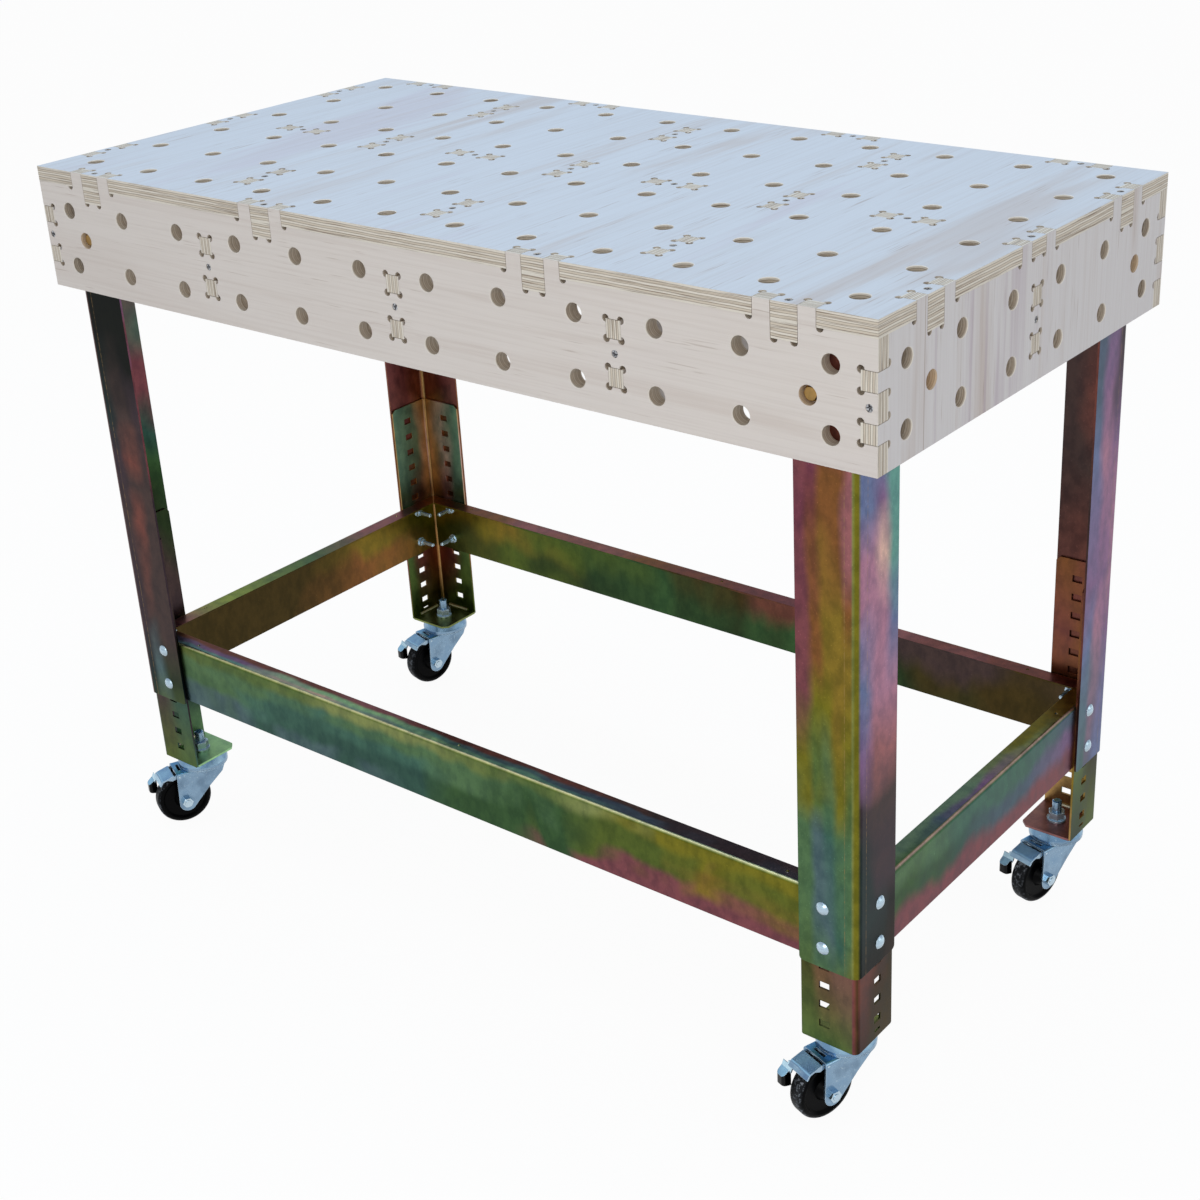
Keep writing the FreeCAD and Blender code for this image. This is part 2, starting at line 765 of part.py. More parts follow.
def long_stretcher():
    """Rear stretcher, mitred and drilled."""
    half = web_x - stretcher_end_gap
    bar = stretcher(Vector(-half, web_y, stretcher_top), FRONT, RIGHT * 2 * half)
    cutters = four_ways(mitre_cutter(-1))
    for x in (-column_x, column_x):
        cutters += [web_hole(Vector(x, web_y, z), BACK) for z in carriage_zs]
    hole_y = web_y - stretcher_flange / 2
    for x in (panel_hole_inset - half, 0, half - panel_hole_inset):
        cutters.append(flange_hole(x, hole_y))
    return bar.cut(cutters)


def side_stretcher():
    """Right stretcher, mitred and drilled."""
    half = web_y - stretcher_end_gap
    bar = stretcher(Vector(web_x, -half, stretcher_top), LEFT, BACK * 2 * half)
    cutters = four_ways(mitre_cutter(1))
    for y in (-column_y, column_y):
        cutters += [web_hole(Vector(web_x, y, z), RIGHT) for z in carriage_zs]
    hole_x = web_x - stretcher_flange / 2
    for y in (panel_hole_inset - half, half - panel_hole_inset):
        cutters.append(flange_hole(hole_x, y))
    return bar.cut(cutters)


# ---- metric fasteners, built along +Z with the bearing face at zero --------------------
def leg_bolt():
    """Hexagon bolt, head above zero and shank below."""
    shank = Part.makeCylinder(leg_bolt_radius, leg_bolt_length, Vector(0, 0, -leg_bolt_length))
    return joined([chamfered_hexagon(leg_bolt_flats, leg_bolt_head), shank])


def ring(outer, inner, height):
    """Flat washer that stands on zero."""
    return turned([(inner, 0), (outer, 0), (outer, height), (inner, height)])


def carriage_bolt():
    """Carriage bolt: domed head above zero, square neck and shank below."""
    rise = carriage_head_height
    dome_radius = (carriage_head_radius**2 + rise**2) / (2 * rise)
    ball = Part.makeSphere(dome_radius, Vector(0, 0, rise - dome_radius))
    head = ball.common(block(span(0, dome_radius), span(0, dome_radius), (0, rise)))
    neck_half = carriage_neck / 2
    neck = block(span(0, neck_half), span(0, neck_half), (-carriage_neck_length, 0))
    tip = -carriage_length
    chamfer = carriage_tip_chamfer
    shank = turned([
        (0, 0), (carriage_radius, 0), (carriage_radius, tip + chamfer), (carriage_radius - chamfer, tip),
        (0, tip),
    ])
    return joined([head, neck, shank])


def carriage_nut():
    """Flange nut that stands on zero."""
    flange = Part.makeCylinder(carriage_nut_flange_radius, carriage_nut_flange)
    body = chamfered_hexagon(carriage_nut_flats, carriage_nut_height)
    thread_start = Vector(0, 0, -past)
    thread = Part.makeCylinder(carriage_radius + thread_ease, carriage_nut_height + 2 * past, thread_start)
    return joined([body, flange]).cut(thread)


def hex_nut(flats, height, hole_radius):
    """Plain hexagon nut that stands on zero."""
    thread = Part.makeCylinder(hole_radius, height + 2 * past, Vector(0, 0, -past))
    return chamfered_hexagon(flats, height).cut(thread)


def carriage_places(inward):
    """Places and outward directions of the carriage bolts, shifted inward from the leg's faces."""
    places = []
    for side_x, side_y in corners.values():
        for z in carriage_zs:
            on_long = Vector(side_x * column_x, side_y * (leg_y - inward), z)
            on_side = Vector(side_x * (leg_x - inward), side_y * column_y, z)
            places += [(on_long, BACK * side_y), (on_side, RIGHT * side_x)]
    return places


def leg_bolt_places(inward):
    """Places and outward directions of the leg bolts, shifted inward from the aprons' faces."""
    places = []
    for side_x, side_y in corners.values():
        place = Vector(side_x * leg_bolt_x, side_y * (half_width - inward), edge_screw_z)
        places.append((place, BACK * side_y))
    return places


def stem_places(z):
    """Places above the foot plates on the casters' stems, pointing up."""
    return [(Vector(side_x * stem_x, side_y * stem_y, z), UP) for side_x, side_y in corners.values()]


def reversed_ways(places):
    """The same places with the opposite directions."""
    return [(place, direction * -1) for place, direction in places]


def group(shape, places):
    """Separate copies of a shape at a list of places and directions."""
    return Part.makeCompound([turn_to(shape, direction, place) for place, direction in places])


# ---- casters, drawn with the stem on the Z axis, trailing along +X ---------------------
def tangent_point(start, centre, radius, side):
    """Point where the line from start touches the circle, on the left (+1) or right (-1)."""
    dx = centre[0] - start[0]
    dz = centre[1] - start[1]
    distance = math.hypot(dx, dz)
    angle = math.atan2(dz, dx) + side * math.asin(radius / distance)
    length = math.sqrt(distance**2 - radius**2)
    return (start[0] + length * math.cos(angle), start[1] + length * math.sin(angle))


def upright_prism(points, half):
    """Prism of an (x, z) outline that reaches half to each side of the middle plane."""
    face = outline_face([Vector(x, -half, z) for x, z in points])
    return face.extrude(BACK * 2 * half)


def round_bar(x, z, radius, y_low, y_high):
    """Round bar across the caster between two limits."""
    return Part.makeCylinder(radius, y_high - y_low, Vector(x, y_low, z), BACK)


def fork_channel():
    """Upside-down U of bent sheet that the fork is cut from."""
    low = wheel_radius - fork_end_drop - fork_end_radius
    front = caster_trail + fork_end_radius
    outer = block((-fork_back, front), span(0, fork_half), (low, fork_top_z))
    top_edges = [edge for edge in outer.Edges if edge.BoundBox.ZMin > fork_top_z - past]
    long_edges = [edge for edge in top_edges if edge.BoundBox.XLength > fork_back]
    outer = outer.makeFillet(fork_bend, long_edges)
    inside = span(0, fork_half - sheet)
    return outer.cut(block((-fork_back - past, front + past), inside, (low - past, fork_top_z - sheet)))


def caster_fork():
    """Fork with its crown around the swivel race, the axle holes and the pedal's pin holes."""
    end = (caster_trail - fork_end_back, wheel_radius - fork_end_drop)
    front_top = (fork_front, fork_top_z)
    front_touch = tangent_point(front_top, end, fork_end_radius, 1)
    shin_touch = tangent_point(fork_shin, end, fork_end_radius, -1)
    outline = [(-fork_back, fork_top_z), front_top, front_touch, end, shin_touch, fork_shin, fork_waist,
               fork_heel, (-fork_back, fork_top_z - sheet)]
    side_view = upright_prism(outline, fork_width)
    toe = round_bar(end[0], end[1], fork_end_radius, -fork_width, fork_width)
    body = fork_channel().common(side_view.fuse(toe))
    crown_top = fork_top_z + crown_rise
    under = fork_top_z - sheet
    crown_radius = cap_radius - race_gap
    crown = turned([
        (0, under), (crown_inner_radius, under), (crown_radius, crown_top - crown_edge),
        (crown_radius, crown_top), (crown_inner_radius, fork_top_z), (0, fork_top_z),
    ])
    through = (under - past, fork_top_z + past)
    cutters = [
        block((fork_slot_back, fork_slot_front), span(0, fork_slot_half), through),
        round_bar(caster_trail, wheel_radius, axle_radius + thread_ease, -fork_width, fork_width),
        round_bar(pedal_pin_u, pedal_pin_z, pedal_pin_radius, -fork_width, fork_width),
        Part.makeCylinder(kingpin_radius + race_gap, sheet + 2 * past, Vector(0, 0, under - past)),
    ]
    return body.fuse(crown).removeSplitter().cut(cutters)


def caster_stem():
    """Fixed upper part of the swivel: cap, kingpin below it and threaded stem above it."""
    ball_top = fork_top_z + race_gap + 2 * race_ball_radius
    head_top = fork_top_z - sheet - race_gap
    head_bottom = head_top - kingpin_head_height
    skirt_radius = cap_radius - cap_skirt
    rim_top = cap_bottom_z + cap_rim_height
    return turned([
        (0, head_bottom), (kingpin_head_radius, head_bottom), (kingpin_head_radius, head_top),
        (kingpin_radius, head_top), (kingpin_radius, ball_top), (skirt_radius, ball_top),
        (skirt_radius, cap_bottom_z), (cap_radius, cap_bottom_z), (cap_radius, rim_top),
        (cap_top_radius, foot_bottom), (stem_radius, foot_bottom),
        (stem_radius, stem_top - stem_tip_chamfer), (stem_radius - stem_tip_chamfer, stem_top), (0, stem_top),
    ])


def race_balls():
    """Balls of one swivel race, against the cap."""
    z = fork_top_z + race_gap + race_ball_radius
    balls = []
    for index in range(race_ball_count):
        angle = 2 * math.pi * index / race_ball_count
        place = Vector(race_ball_circle * math.cos(angle), race_ball_circle * math.sin(angle), z)
        balls.append(Part.makeSphere(race_ball_radius, place))
    return balls


def caster_wheel():
    """Solid wheel with rounded shoulders, a recessed ring on both faces and a hub boss."""
    half = wheel_width / 2
    hub_half = fork_half - sheet - hub_gap
    face = half - wheel_recess
    hole = axle_radius + thread_ease
    wheel = turned([
        (hole, -hub_half), (hub_radius, -hub_half), (wheel_web_radius, -face), (wheel_rim_radius, -face),
        (wheel_rim_radius + wheel_recess, -half), (wheel_radius, -half), (wheel_radius, half),
        (wheel_rim_radius + wheel_recess, half), (wheel_rim_radius, face), (wheel_web_radius, face),
        (hub_radius, hub_half), (hole, hub_half),
    ])
    rims = [edge for edge in wheel.Edges if edge.BoundBox.XMax > wheel_radius - thread_ease]
    shoulders = [edge for edge in rims if edge.BoundBox.ZLength < wheel_recess]
    wheel = wheel.makeFillet(wheel_edge_radius, shoulders)
    return turn_to(wheel, BACK, Vector(caster_trail, 0, wheel_radius))


def axle_bolt():
    """Axle bolt with its head on the -Y side of the fork."""
    head = chamfered_hexagon(axle_flats, axle_head)
    length = fork_half + axle_bolt_reach
    shank = Part.makeCylinder(axle_radius, length, Vector(0, 0, -length))
    return turn_to(joined([head, shank]), FRONT, Vector(caster_trail, -fork_half, wheel_radius))


def axle_nut():
    """Nut on the +Y side of the fork."""
    nut = hex_nut(axle_flats, axle_nut_height, axle_radius + thread_ease)
    return turn_to(nut, BACK, Vector(caster_trail, fork_half, wheel_radius))


def pedal_pin():
    """Pin that the brake pedal hinges on, across the fork."""
    return round_bar(pedal_pin_u, pedal_pin_z, pedal_pin_radius, -fork_half, fork_half)


def sheet_strip(points, half):
    """Strip of sheet folded once; its three points lie on the outer face, away from the wheel."""
    start, fold, end = [Vector(x, 0, z) for x, z in points]
    above = Vector(fold.z - start.z, 0, start.x - fold.x).normalize()
    below = Vector(end.z - fold.z, 0, fold.x - end.x).normalize()
    inner_fold = fold + (above + below) * (pedal_sheet / (1 + above.dot(below)))
    outline = [start, fold, end, end + below * pedal_sheet, inner_fold, start + above * pedal_sheet]
    return upright_prism([(point.x, point.z) for point in outline], half), inner_fold, fold


def pedal_hood():
    """Folded sheet over the tyre, with a rounded fold."""
    strip, inner_fold, fold = sheet_strip((hood_start, hood_fold, hood_end), pedal_width / 2)
    for place, radius in ((inner_fold, hood_bend), (fold, hood_bend + pedal_sheet)):
        folds = [edge for edge in strip.Edges if edge.CenterOfMass.distanceToPoint(place) < pedal_sheet / 2]
        strip = strip.makeFillet(radius, folds)
    return strip


def pedal_ears():
    """Side ears of the brake pedal, from the hood back to the hinge pin."""
    outline = [
        (pedal_pin_u, pedal_pin_z + pedal_eye_radius), ear_top, ear_front, ear_low,
        (pedal_pin_u, pedal_pin_z - pedal_eye_radius),
    ]
    half = pedal_width / 2
    plates = upright_prism(outline, half)
    eyes = round_bar(pedal_pin_u, pedal_pin_z, pedal_eye_radius, -half, half)
    both = plates.fuse(eyes)
    inside = block((0, caster_trail + 2 * wheel_radius), span(0, half - pedal_sheet), (0, foot_bottom))
    return both.cut(inside)


def tongue_plan(inset):
    """Tall prism on the plan of the tongue beside the wheel, with rounded tip corners."""
    tip_x = tongue_tip[0] - inset
    plan = block((tongue_back, tip_x), (tongue_far + inset, tongue_near - inset), (0, foot_bottom))
    upright = [edge for edge in plan.Edges if edge.BoundBox.ZLength > foot_bottom / 2]
    tip_edges = [edge for edge in upright if edge.BoundBox.XMin > tongue_back]
    return plan.makeFillet(tongue_corner - inset, tip_edges)


def pedal_tongue():
    """Foot tongue beside the wheel: an arm down from the hood, a sloping plate and a skirt around it."""
    root_x, root_z = tongue_root
    tip_x, tip_z = tongue_tip
    reach = -tongue_far
    strip = sheet_strip((arm_top, tongue_root, tongue_tip), reach)[0]
    arm = strip.common(block((0, root_x), (arm_far, arm_near), (0, foot_bottom)))
    plate = strip.common(tongue_plan(0))
    side = [
        (tongue_back, skirt_root_z), (tip_x, skirt_tip_z), (tip_x, tip_z),
        (root_x, root_z), (tongue_back, root_z),
    ]
    skirt = tongue_plan(0).cut(tongue_plan(pedal_sheet)).common(upright_prism(side, reach))
    return joined([arm, plate, skirt])


def brake_pedal():
    """Brake pedal of bent sheet: hood over the tyre, ears to the pin and foot tongue."""
    pedal = joined([pedal_hood(), pedal_ears(), pedal_tongue()])
    pin_hole = round_bar(pedal_pin_u, pedal_pin_z, pedal_pin_radius + thread_ease, -fork_width, fork_width)
    return pedal.cut(pin_hole)


def caster_placement(corner):
    """Placement of a caster under one corner, turned to its heading."""
    side_x, side_y = corners[corner]
    place = Vector(side_x * stem_x, side_y * stem_y, 0)
    return FreeCAD.Placement(place, FreeCAD.Rotation(UP, caster_headings[corner]))


def at_corner(shape, corner):
    """Copy of a caster piece at one corner."""
    result = shape.copy()
    result.Placement = caster_placement(corner).multiply(shape.Placement)
    return result


# ---- all pieces ------------------------------------------------------------------------
def wooden_pieces():
    """Boards of the torsion box, with their screw holes."""
    front = stand_along_x(front_board(), -inner_y)
    side = stand_along_y(side_board(), inner_x)
    boards = {
        "top_panel": top_panel(),
        "sub_top": sub_top(),
        "front_apron": front,
        "rear_apron": front.mirror(Vector(0, 0, 0), Vector(0, 1, 0)),
        "right_apron": side,
        "left_apron": side.mirror(Vector(0, 0, 0), Vector(1, 0, 0)),
        "long_rib": long_rib(),
    }
    for name, x in zip(("left", "middle", "right"), rib_xs):
        boards[name + "_cross_rib"] = cross_rib(x)
    hole = screw_hole()
    places = top_screw_places() + apron_screw_places()
    holes = [turn_to(hole, direction, place) for place, direction in places]
    return {name: drilled(board, holes) for name, board in boards.items()}


def frame_pieces():
    """Legs, foot plates, welds and stretchers."""
    pieces = {}
    upper = upper_leg()
    lower = lower_leg()
    for corner, (side_x, side_y) in corners.items():
        pieces["upper_leg_" + corner] = in_corner(upper, side_x, side_y)
        pieces["lower_leg_" + corner] = in_corner(lower, side_x, side_y)
    pieces["foot_plates"] = Part.makeCompound(four_ways(foot_plate()))
    beads = [copy for bead in foot_weld_beads() for copy in four_ways(bead)]
    pieces["foot_welds"] = Part.makeCompound(beads)
    rear = long_stretcher()
    right = side_stretcher()
    pieces["rear_stretcher"] = rear
    pieces["front_stretcher"] = in_corner(rear, 1, -1)
    pieces["right_stretcher"] = right
    pieces["left_stretcher"] = in_corner(right, -1, 1)
    return pieces


def fastener_pieces():
    """Screws, bolts, nuts and washers, one group for each kind."""
    screw = wood_screw()
    bolt_inward = leg_bolt_counterbore - leg_washer_thickness
    nut_inward = half_width - (leg_y - sheet)
    three_sheets = 3 * sheet    # upper leg, lower leg and stretcher web
    washer = ring(leg_washer_radius, leg_bolt_hole_radius, leg_washer_thickness)
    leg_nut = hex_nut(leg_bolt_flats, leg_nut_height, leg_bolt_radius + thread_ease)
    stem_washer = ring(stem_washer_radius, stem_hole_radius, stem_washer_thickness)
    stem_nut = hex_nut(stem_nut_flats, stem_nut_height, stem_radius + thread_ease)
    plate_top = foot_bottom + foot_plate_thickness
    return {
        "top_screws": group(screw, top_screw_places()),
        "apron_screws": group(screw, apron_screw_places()),
        "leg_mount_bolts": group(leg_bolt(), leg_bolt_places(bolt_inward)),
        "leg_mount_washers": group(washer, leg_bolt_places(leg_bolt_counterbore)),
        "leg_mount_nuts": group(leg_nut, reversed_ways(leg_bolt_places(nut_inward))),
        "carriage_bolts": group(carriage_bolt(), carriage_places(0)),
        "carriage_nuts": group(carriage_nut(), reversed_ways(carriage_places(three_sheets))),
        "stem_washers": group(stem_washer, stem_places(plate_top)),
        "stem_nuts": group(stem_nut, stem_places(plate_top + stem_washer_thickness)),
    }


def caster_pieces():
    """All pieces of the four casters."""
    moving = {
        "caster_fork": caster_fork(),
        "caster_wheel": caster_wheel(),
        "axle_bolt": axle_bolt(),
        "axle_nut": axle_nut(),
        "brake_pedal": brake_pedal(),
        "pedal_pin": pedal_pin(),
    }
    stem = caster_stem()
    balls = race_balls()
    pieces = {
        "caster_stems": Part.makeCompound([at_corner(stem, corner) for corner in corners]),
        "swivel_balls": Part.makeCompound([at_corner(ball, corner) for corner in corners for ball in balls]),
    }
    for name, shape in moving.items():
        for corner in corners:
            pieces[name + "_" + corner] = at_corner(shape, corner)
    return pieces


def main():
    os.makedirs("parts", exist_ok=True)
    pieces = {}
    pieces.update(wooden_pieces())
    pieces.update(frame_pieces())
    pieces.update(fastener_pieces())
    pieces.update(caster_pieces())
    for name, shape in pieces.items():
        shape.exportStep(os.path.join("parts", name + ".step"))
        print(name, "solids", len(shape.Solids), "valid", shape.isValid(), "volume", round(shape.Volume, 1))
    print("nodes", len(pieces))


main()
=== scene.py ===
"""Looks of the assembly table: plywood, passivated steel, zinc casters, and the studio around them."""
import math

import bpy
from mathutils import Matrix, Vector


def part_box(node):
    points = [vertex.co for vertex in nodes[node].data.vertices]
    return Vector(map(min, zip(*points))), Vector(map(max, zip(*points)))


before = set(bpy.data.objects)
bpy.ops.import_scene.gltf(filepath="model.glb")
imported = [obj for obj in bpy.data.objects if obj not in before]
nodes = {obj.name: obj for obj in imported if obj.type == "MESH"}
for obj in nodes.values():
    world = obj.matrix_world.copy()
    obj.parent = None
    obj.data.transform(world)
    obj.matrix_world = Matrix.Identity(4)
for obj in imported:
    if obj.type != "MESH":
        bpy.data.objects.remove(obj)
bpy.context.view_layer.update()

axes = "xyz"
corners = ("front_right", "front_left", "rear_left", "rear_right")


def limits(node, axis):
    """Lowest and highest coordinate of a CAD node along an axis."""
    low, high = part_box(node)
    index = axes.index(axis)
    return (low[index], high[index])


# ---- sizes, in metres ------------------------------------------------------------------
panel_bottom, table_height = limits("top_panel", "z")
ply = table_height - panel_bottom
half_length = limits("top_panel", "x")[1]
half_width = limits("top_panel", "y")[1]

washer_bottom, washer_top = limits("leg_mount_washers", "z")
bore_z = (washer_bottom + washer_top) / 2
leg_bolt_x = limits("leg_mount_washers", "x")[1] - (washer_top - washer_bottom) / 2
side_bore_front = 0.206         # plain bores of the end aprons, from the middle
side_bore_rear = 0.226
raw_bore_radius = 0.0108        # fresh wood around the middle of a plain bore
board_edge = 0.0006             # outermost layer of a board that counts as its edge
veneer_joint = 0.219            # joint in the end aprons' veneer, in front of the middle
veneer_joint_half = 0.0011
figure_in = (-0.002, 0.012)     # distances behind the joint over which mauve figure sets in
figure_out = (0.30, 0.06)       # and over which it is gone again
mark_offset = 0.016             # die lines, from the outer faces of a leg
mark_half = 0.0007
line_core = 0.0002              # drawn lines are full this close to their middle
pedal_shade_z = 0.0625           # upright faces of the pedals are painted black as shade below this height
pedal_shade_fade = 0.001
tread_dust = (0.0355, 0.0385)   # distances from a wheel's middle between which dust sets in

wood_edge_radius = 0.0005
steel_edge_radius = 0.0006
zinc_edge_radius = 0.0007
rubber_edge_radius = 0.0008

floor_size = 40.0

# ---- camera ----------------------------------------------------------------------------
camera_place = (1.445618, -1.679586, 1.452589)
camera_yaw = 0.671248
camera_pitch = 0.430321
camera_roll = -0.044279
camera_sensor = 36.0
camera_lens = 57.877
camera_shift = (-0.05282, -0.04042)


def colour(red, green, blue):
    """Scene-linear colour of an sRGB colour with values up to 255."""
    linear = []
    for value in (red, green, blue):
        share = value / 255
        linear.append(share / 12.92 if share <= 0.04045 else ((share + 0.055) / 1.055) ** 2.4)
    return (*linear, 1.0)


# ---- colours ---------------------------------------------------------------------------
top_veneer = colour(205, 209, 214)
apron_veneer = colour(217, 208, 200)
side_veneer = colour(211, 206, 204)
streak_tan = colour(186, 168, 156)
streak_mauve = colour(190, 172, 184)
pore_brown = colour(150, 126, 108)
figure_mauve = colour(160, 136, 152)
ply_light = colour(222, 214, 200)
ply_cross = colour(206, 194, 176)
glue_line = colour(112, 90, 72)
routed_wall = colour(178, 160, 140)
raw_wall = colour(216, 178, 130)
chamfer_wood = colour(226, 218, 206)

film_and_painted_light = {                        # colours of the passivation film, and painted light: shine for highlights, coal, soot and night for shade and dark reflection
    "maroon": colour(108, 60, 76),
    "plum": colour(114, 68, 76),
    "umber": colour(110, 66, 60),
    "bronze": colour(122, 82, 48),
    "ochre": colour(122, 104, 42),
    "olive": colour(108, 106, 34),
    "moss": colour(80, 102, 56),
    "fern": colour(76, 108, 76),
    "jade": colour(62, 100, 88),
    "teal": colour(74, 98, 104),
    "slate": colour(70, 88, 108),
    "blue": colour(96, 110, 150),
    "violet": colour(118, 92, 132),
    "pink": colour(156, 114, 140),
    "rose": colour(140, 92, 98),
    "sand": colour(160, 130, 84),
    "aqua": colour(92, 146, 140),
    "lime": colour(132, 152, 76),
    "leaf": colour(118, 130, 80),
    "mint": colour(146, 196, 150),
    "blush": colour(196, 166, 158),
    "forest": colour(52, 82, 50),
    "sea": colour(48, 80, 72),
    "drab": colour(76, 92, 40),
    "dusk": colour(58, 48, 56),
    "night": colour(32, 46, 48),
    "coal": colour(16, 20, 18),
    "smoke": colour(66, 54, 54),
    "earth": colour(62, 52, 28),
    "pine": colour(40, 54, 34),
    "soot": colour(38, 28, 22),
    "shine": colour(244, 240, 190),
    "steel": colour(214, 212, 190),
    "sage": colour(97, 126, 106),
}
zinc_painted_reflection = [                 # painted reflection, from faces that look down to faces that look up
    (0.00, colour(30, 42, 56)),
    (0.40, colour(78, 102, 126)),
    (0.50, colour(134, 162, 186)),
    (0.62, colour(108, 144, 176)),
    (0.74, colour(200, 238, 255)),
    (0.84, colour(62, 116, 168)),
    (0.91, colour(150, 212, 248)),
    (1.00, colour(90, 152, 204)),
]
# pale zinc: painted highlight on the edges, pale specks, and the lift
zinc_pale = colour(214, 232, 240)
screw_metal = colour(196, 198, 202)
screw_dirt = colour(62, 60, 62)
# black of the wheels' rubber, and of the painted shade on the pedals
rubber_and_shade_black = colour(2, 2, 3)
rubber_dust = colour(132, 136, 142)

white = (1.0, 1.0, 1.0, 1.0)
sky_tint = (0.93, 0.96, 1.0, 1.0)
sky_strength = 0.62
floor_light = (0.86, 0.86, 0.86, 1.0)
floor_dark = (0.84, 0.84, 0.84, 1.0)
floor_whiteness = 0.95          # share of plain white in the floor that the camera sees


# ---- node trees ------------------------------------------------------------------------
class Tree:
    """Short calls that add and link the nodes of one material."""

    def __init__(self, name):
        self.material = bpy.data.materials.new(name)
        self.material.use_nodes = True
        self.node_tree = self.material.node_tree
        self.node_tree.nodes.clear()
        self.place = self.add("TexCoord").outputs["Object"]
        self.position = self.by_axis(self.place)
        self.flat_normal = self.add("NewGeometry").outputs["Normal"]
        self.facing = self.by_axis(self.flat_normal)

    def feed(self, socket, value):
        """Link a node's output to a socket, or write a plain value on the socket."""
        if isinstance(value, bpy.types.NodeSocket):
            self.node_tree.links.new(value, socket)
        else:
            socket.default_value = value

    def add(self, kind, *inputs, **settings):
        """Node of a kind, with its settings and its first inputs."""
        node = self.node_tree.nodes.new("ShaderNode" + kind)
        for name, value in settings.items():
            setattr(node, name, value)
        for socket, value in zip(node.inputs, inputs):
            self.feed(socket, value)
        return node

    def by_axis(self, vector):
        """The three values of a vector, by the name of their axis."""
        return dict(zip(axes, self.add("SeparateXYZ", vector).outputs))

    def math(self, operation, *values):
        return self.add("Math", *values, operation=operation).outputs[0]

    def both(self, first, second):
        """Product of two values, so two masks hold together."""
        return self.math("MULTIPLY", first, second)

    def turned_to(self, axis):
        """1 where the surface looks along an axis, either way, and 0 where it lies beside it."""
        return self.math("ABSOLUTE", self.facing[axis])

    def noise(self, scale, offset=(0, 0, 0), detail=2.0, roughness=0.5, distortion=0.0):
        """Noise over the object's coordinates, finer along an axis where its scale is larger."""
        mapping = self.add("Mapping", self.place)
        self.feed(mapping.inputs["Location"], offset)
        self.feed(mapping.inputs["Scale"], scale)
        node = self.add("TexNoise")
        values = {"Vector": mapping.outputs[0], "Scale": 1.0, "Detail": detail, "Roughness": roughness,
                  "Distortion": distortion}
        for name, value in values.items():
            self.feed(node.inputs[name], value)
        return node.outputs[0]

    def remap(self, kind, value, low, high, to_low, to_high):
        node = self.add("MapRange", value, low, high, to_low, to_high, interpolation_type=kind)
        return node.outputs[0]

    def smooth(self, value, low, high, to_low=0.0, to_high=1.0):
        """Value carried from one pair of limits to another by a soft step."""
        return self.remap("SMOOTHSTEP", value, low, high, to_low, to_high)

    def linear(self, value, low, high, to_low=0.0, to_high=1.0):
        """Value carried from one pair of limits to another by a straight line."""
        return self.remap("LINEAR", value, low, high, to_low, to_high)

    def ramp(self, factor, stops):
        """Colour ramp through (position, colour) stops."""
        node = self.add("ValToRGB", factor)
        elements = node.color_ramp.elements
        while len(elements) < len(stops):
            elements.new(0.5)
        for element, (position, value) in zip(elements, stops):
            element.position = position
            element.color = value
        return node.outputs[0]

    def mix(self, factor, first, second, blend="MIX"):
        """Mix of two colours."""
        node = self.add("Mix", data_type="RGBA", blend_type=blend)
        self.feed(node.inputs[0], factor)
        self.feed(node.inputs[6], first)
        self.feed(node.inputs[7], second)
        return node.outputs[2]

    def lit(self, shade, red, green, blue):
        """Colour multiplied by one value for each channel."""
        light = self.add("CombineColor", red, green, blue).outputs[0]
        return self.mix(1.0, shade, light, "MULTIPLY")

    def rounded(self, radius):
        """Normal that rounds the edges by a small radius."""
        node = self.add("Bevel", samples=4)
        self.feed(node.inputs["Radius"], radius)
        return node.outputs[0]

    def bump(self, height, normal, strength, distance):
        """Another normal, roughened by a height."""
        node = self.add("Bump")
        values = {"Strength": strength, "Distance": distance, "Height": height, "Normal": normal}
        for name, value in values.items():
            self.feed(node.inputs[name], value)
        return node.outputs[0]

    def surface(self, **values):
        """Principled shader from its sockets' values, to the material's output."""
        shader = self.add("BsdfPrincipled")
        for name, value in values.items():
            self.feed(shader.inputs[name.replace("_", " ")], value)
        self.add("OutputMaterial", shader.outputs[0])
        return self.material


# ---- plywood ---------------------------------------------------------------------------
layer_count = 7
layer_start = 0.018             # shares of the board's thickness: wood begins after a glue line,
layer_end = 0.030               # ends before the next one,
glue_before = 0.006             # and the glue is darkest just before the layers' border
layer_sway = 0.035


def stretched(axis, along, across):
    """Noise scale with one value along an axis and another across it."""
    return tuple(along if name == axis else across for name in axes)


def within(tree, axis, low, high):
    """1 between two limits of a coordinate, 0 beyond them."""
    over = tree.math("GREATER_THAN", tree.position[axis], low)
    under = tree.math("LESS_THAN", tree.position[axis], high)
    return tree.both(over, under)


def layer_colours(tree, axis, face, seed):
    """Colour of the plies seen on an edge, from the depth along an axis behind the board's face."""
    wave = tree.noise((14, 14, 14), (seed, 0, 0), roughness=0.6)
    depth = tree.math("SUBTRACT", tree.position[axis], face)
    depth = tree.math("DIVIDE", depth, ply)
    depth = tree.math("ADD", depth, tree.linear(wave, 0.3, 0.7, -layer_sway, layer_sway))
    stops = []
    for layer in range(layer_count):
        start = layer / layer_count
        end = (layer + 1) / layer_count
        shade = ply_cross if layer % 2 else ply_light
        stops += [(start + layer_start, shade), (end - layer_end, shade)]
        if layer < layer_count - 1:
            stops.append((end - glue_before, glue_line))
    bands = tree.ramp(depth, stops)
    streak = tree.noise(stretched(axis, 900, 14), (seed, seed, 0), detail=3.0, roughness=0.6)
    fibre = tree.noise((340, 340, 340), (0, seed, 0), detail=3.0, roughness=0.7)
    bands = tree.mix(tree.smooth(fibre, 0.40, 0.70, 0.0, 0.25), bands, ply_cross)
    return tree.mix(tree.smooth(streak, 0.52, 0.68, 0.0, 0.75), bands, glue_line)


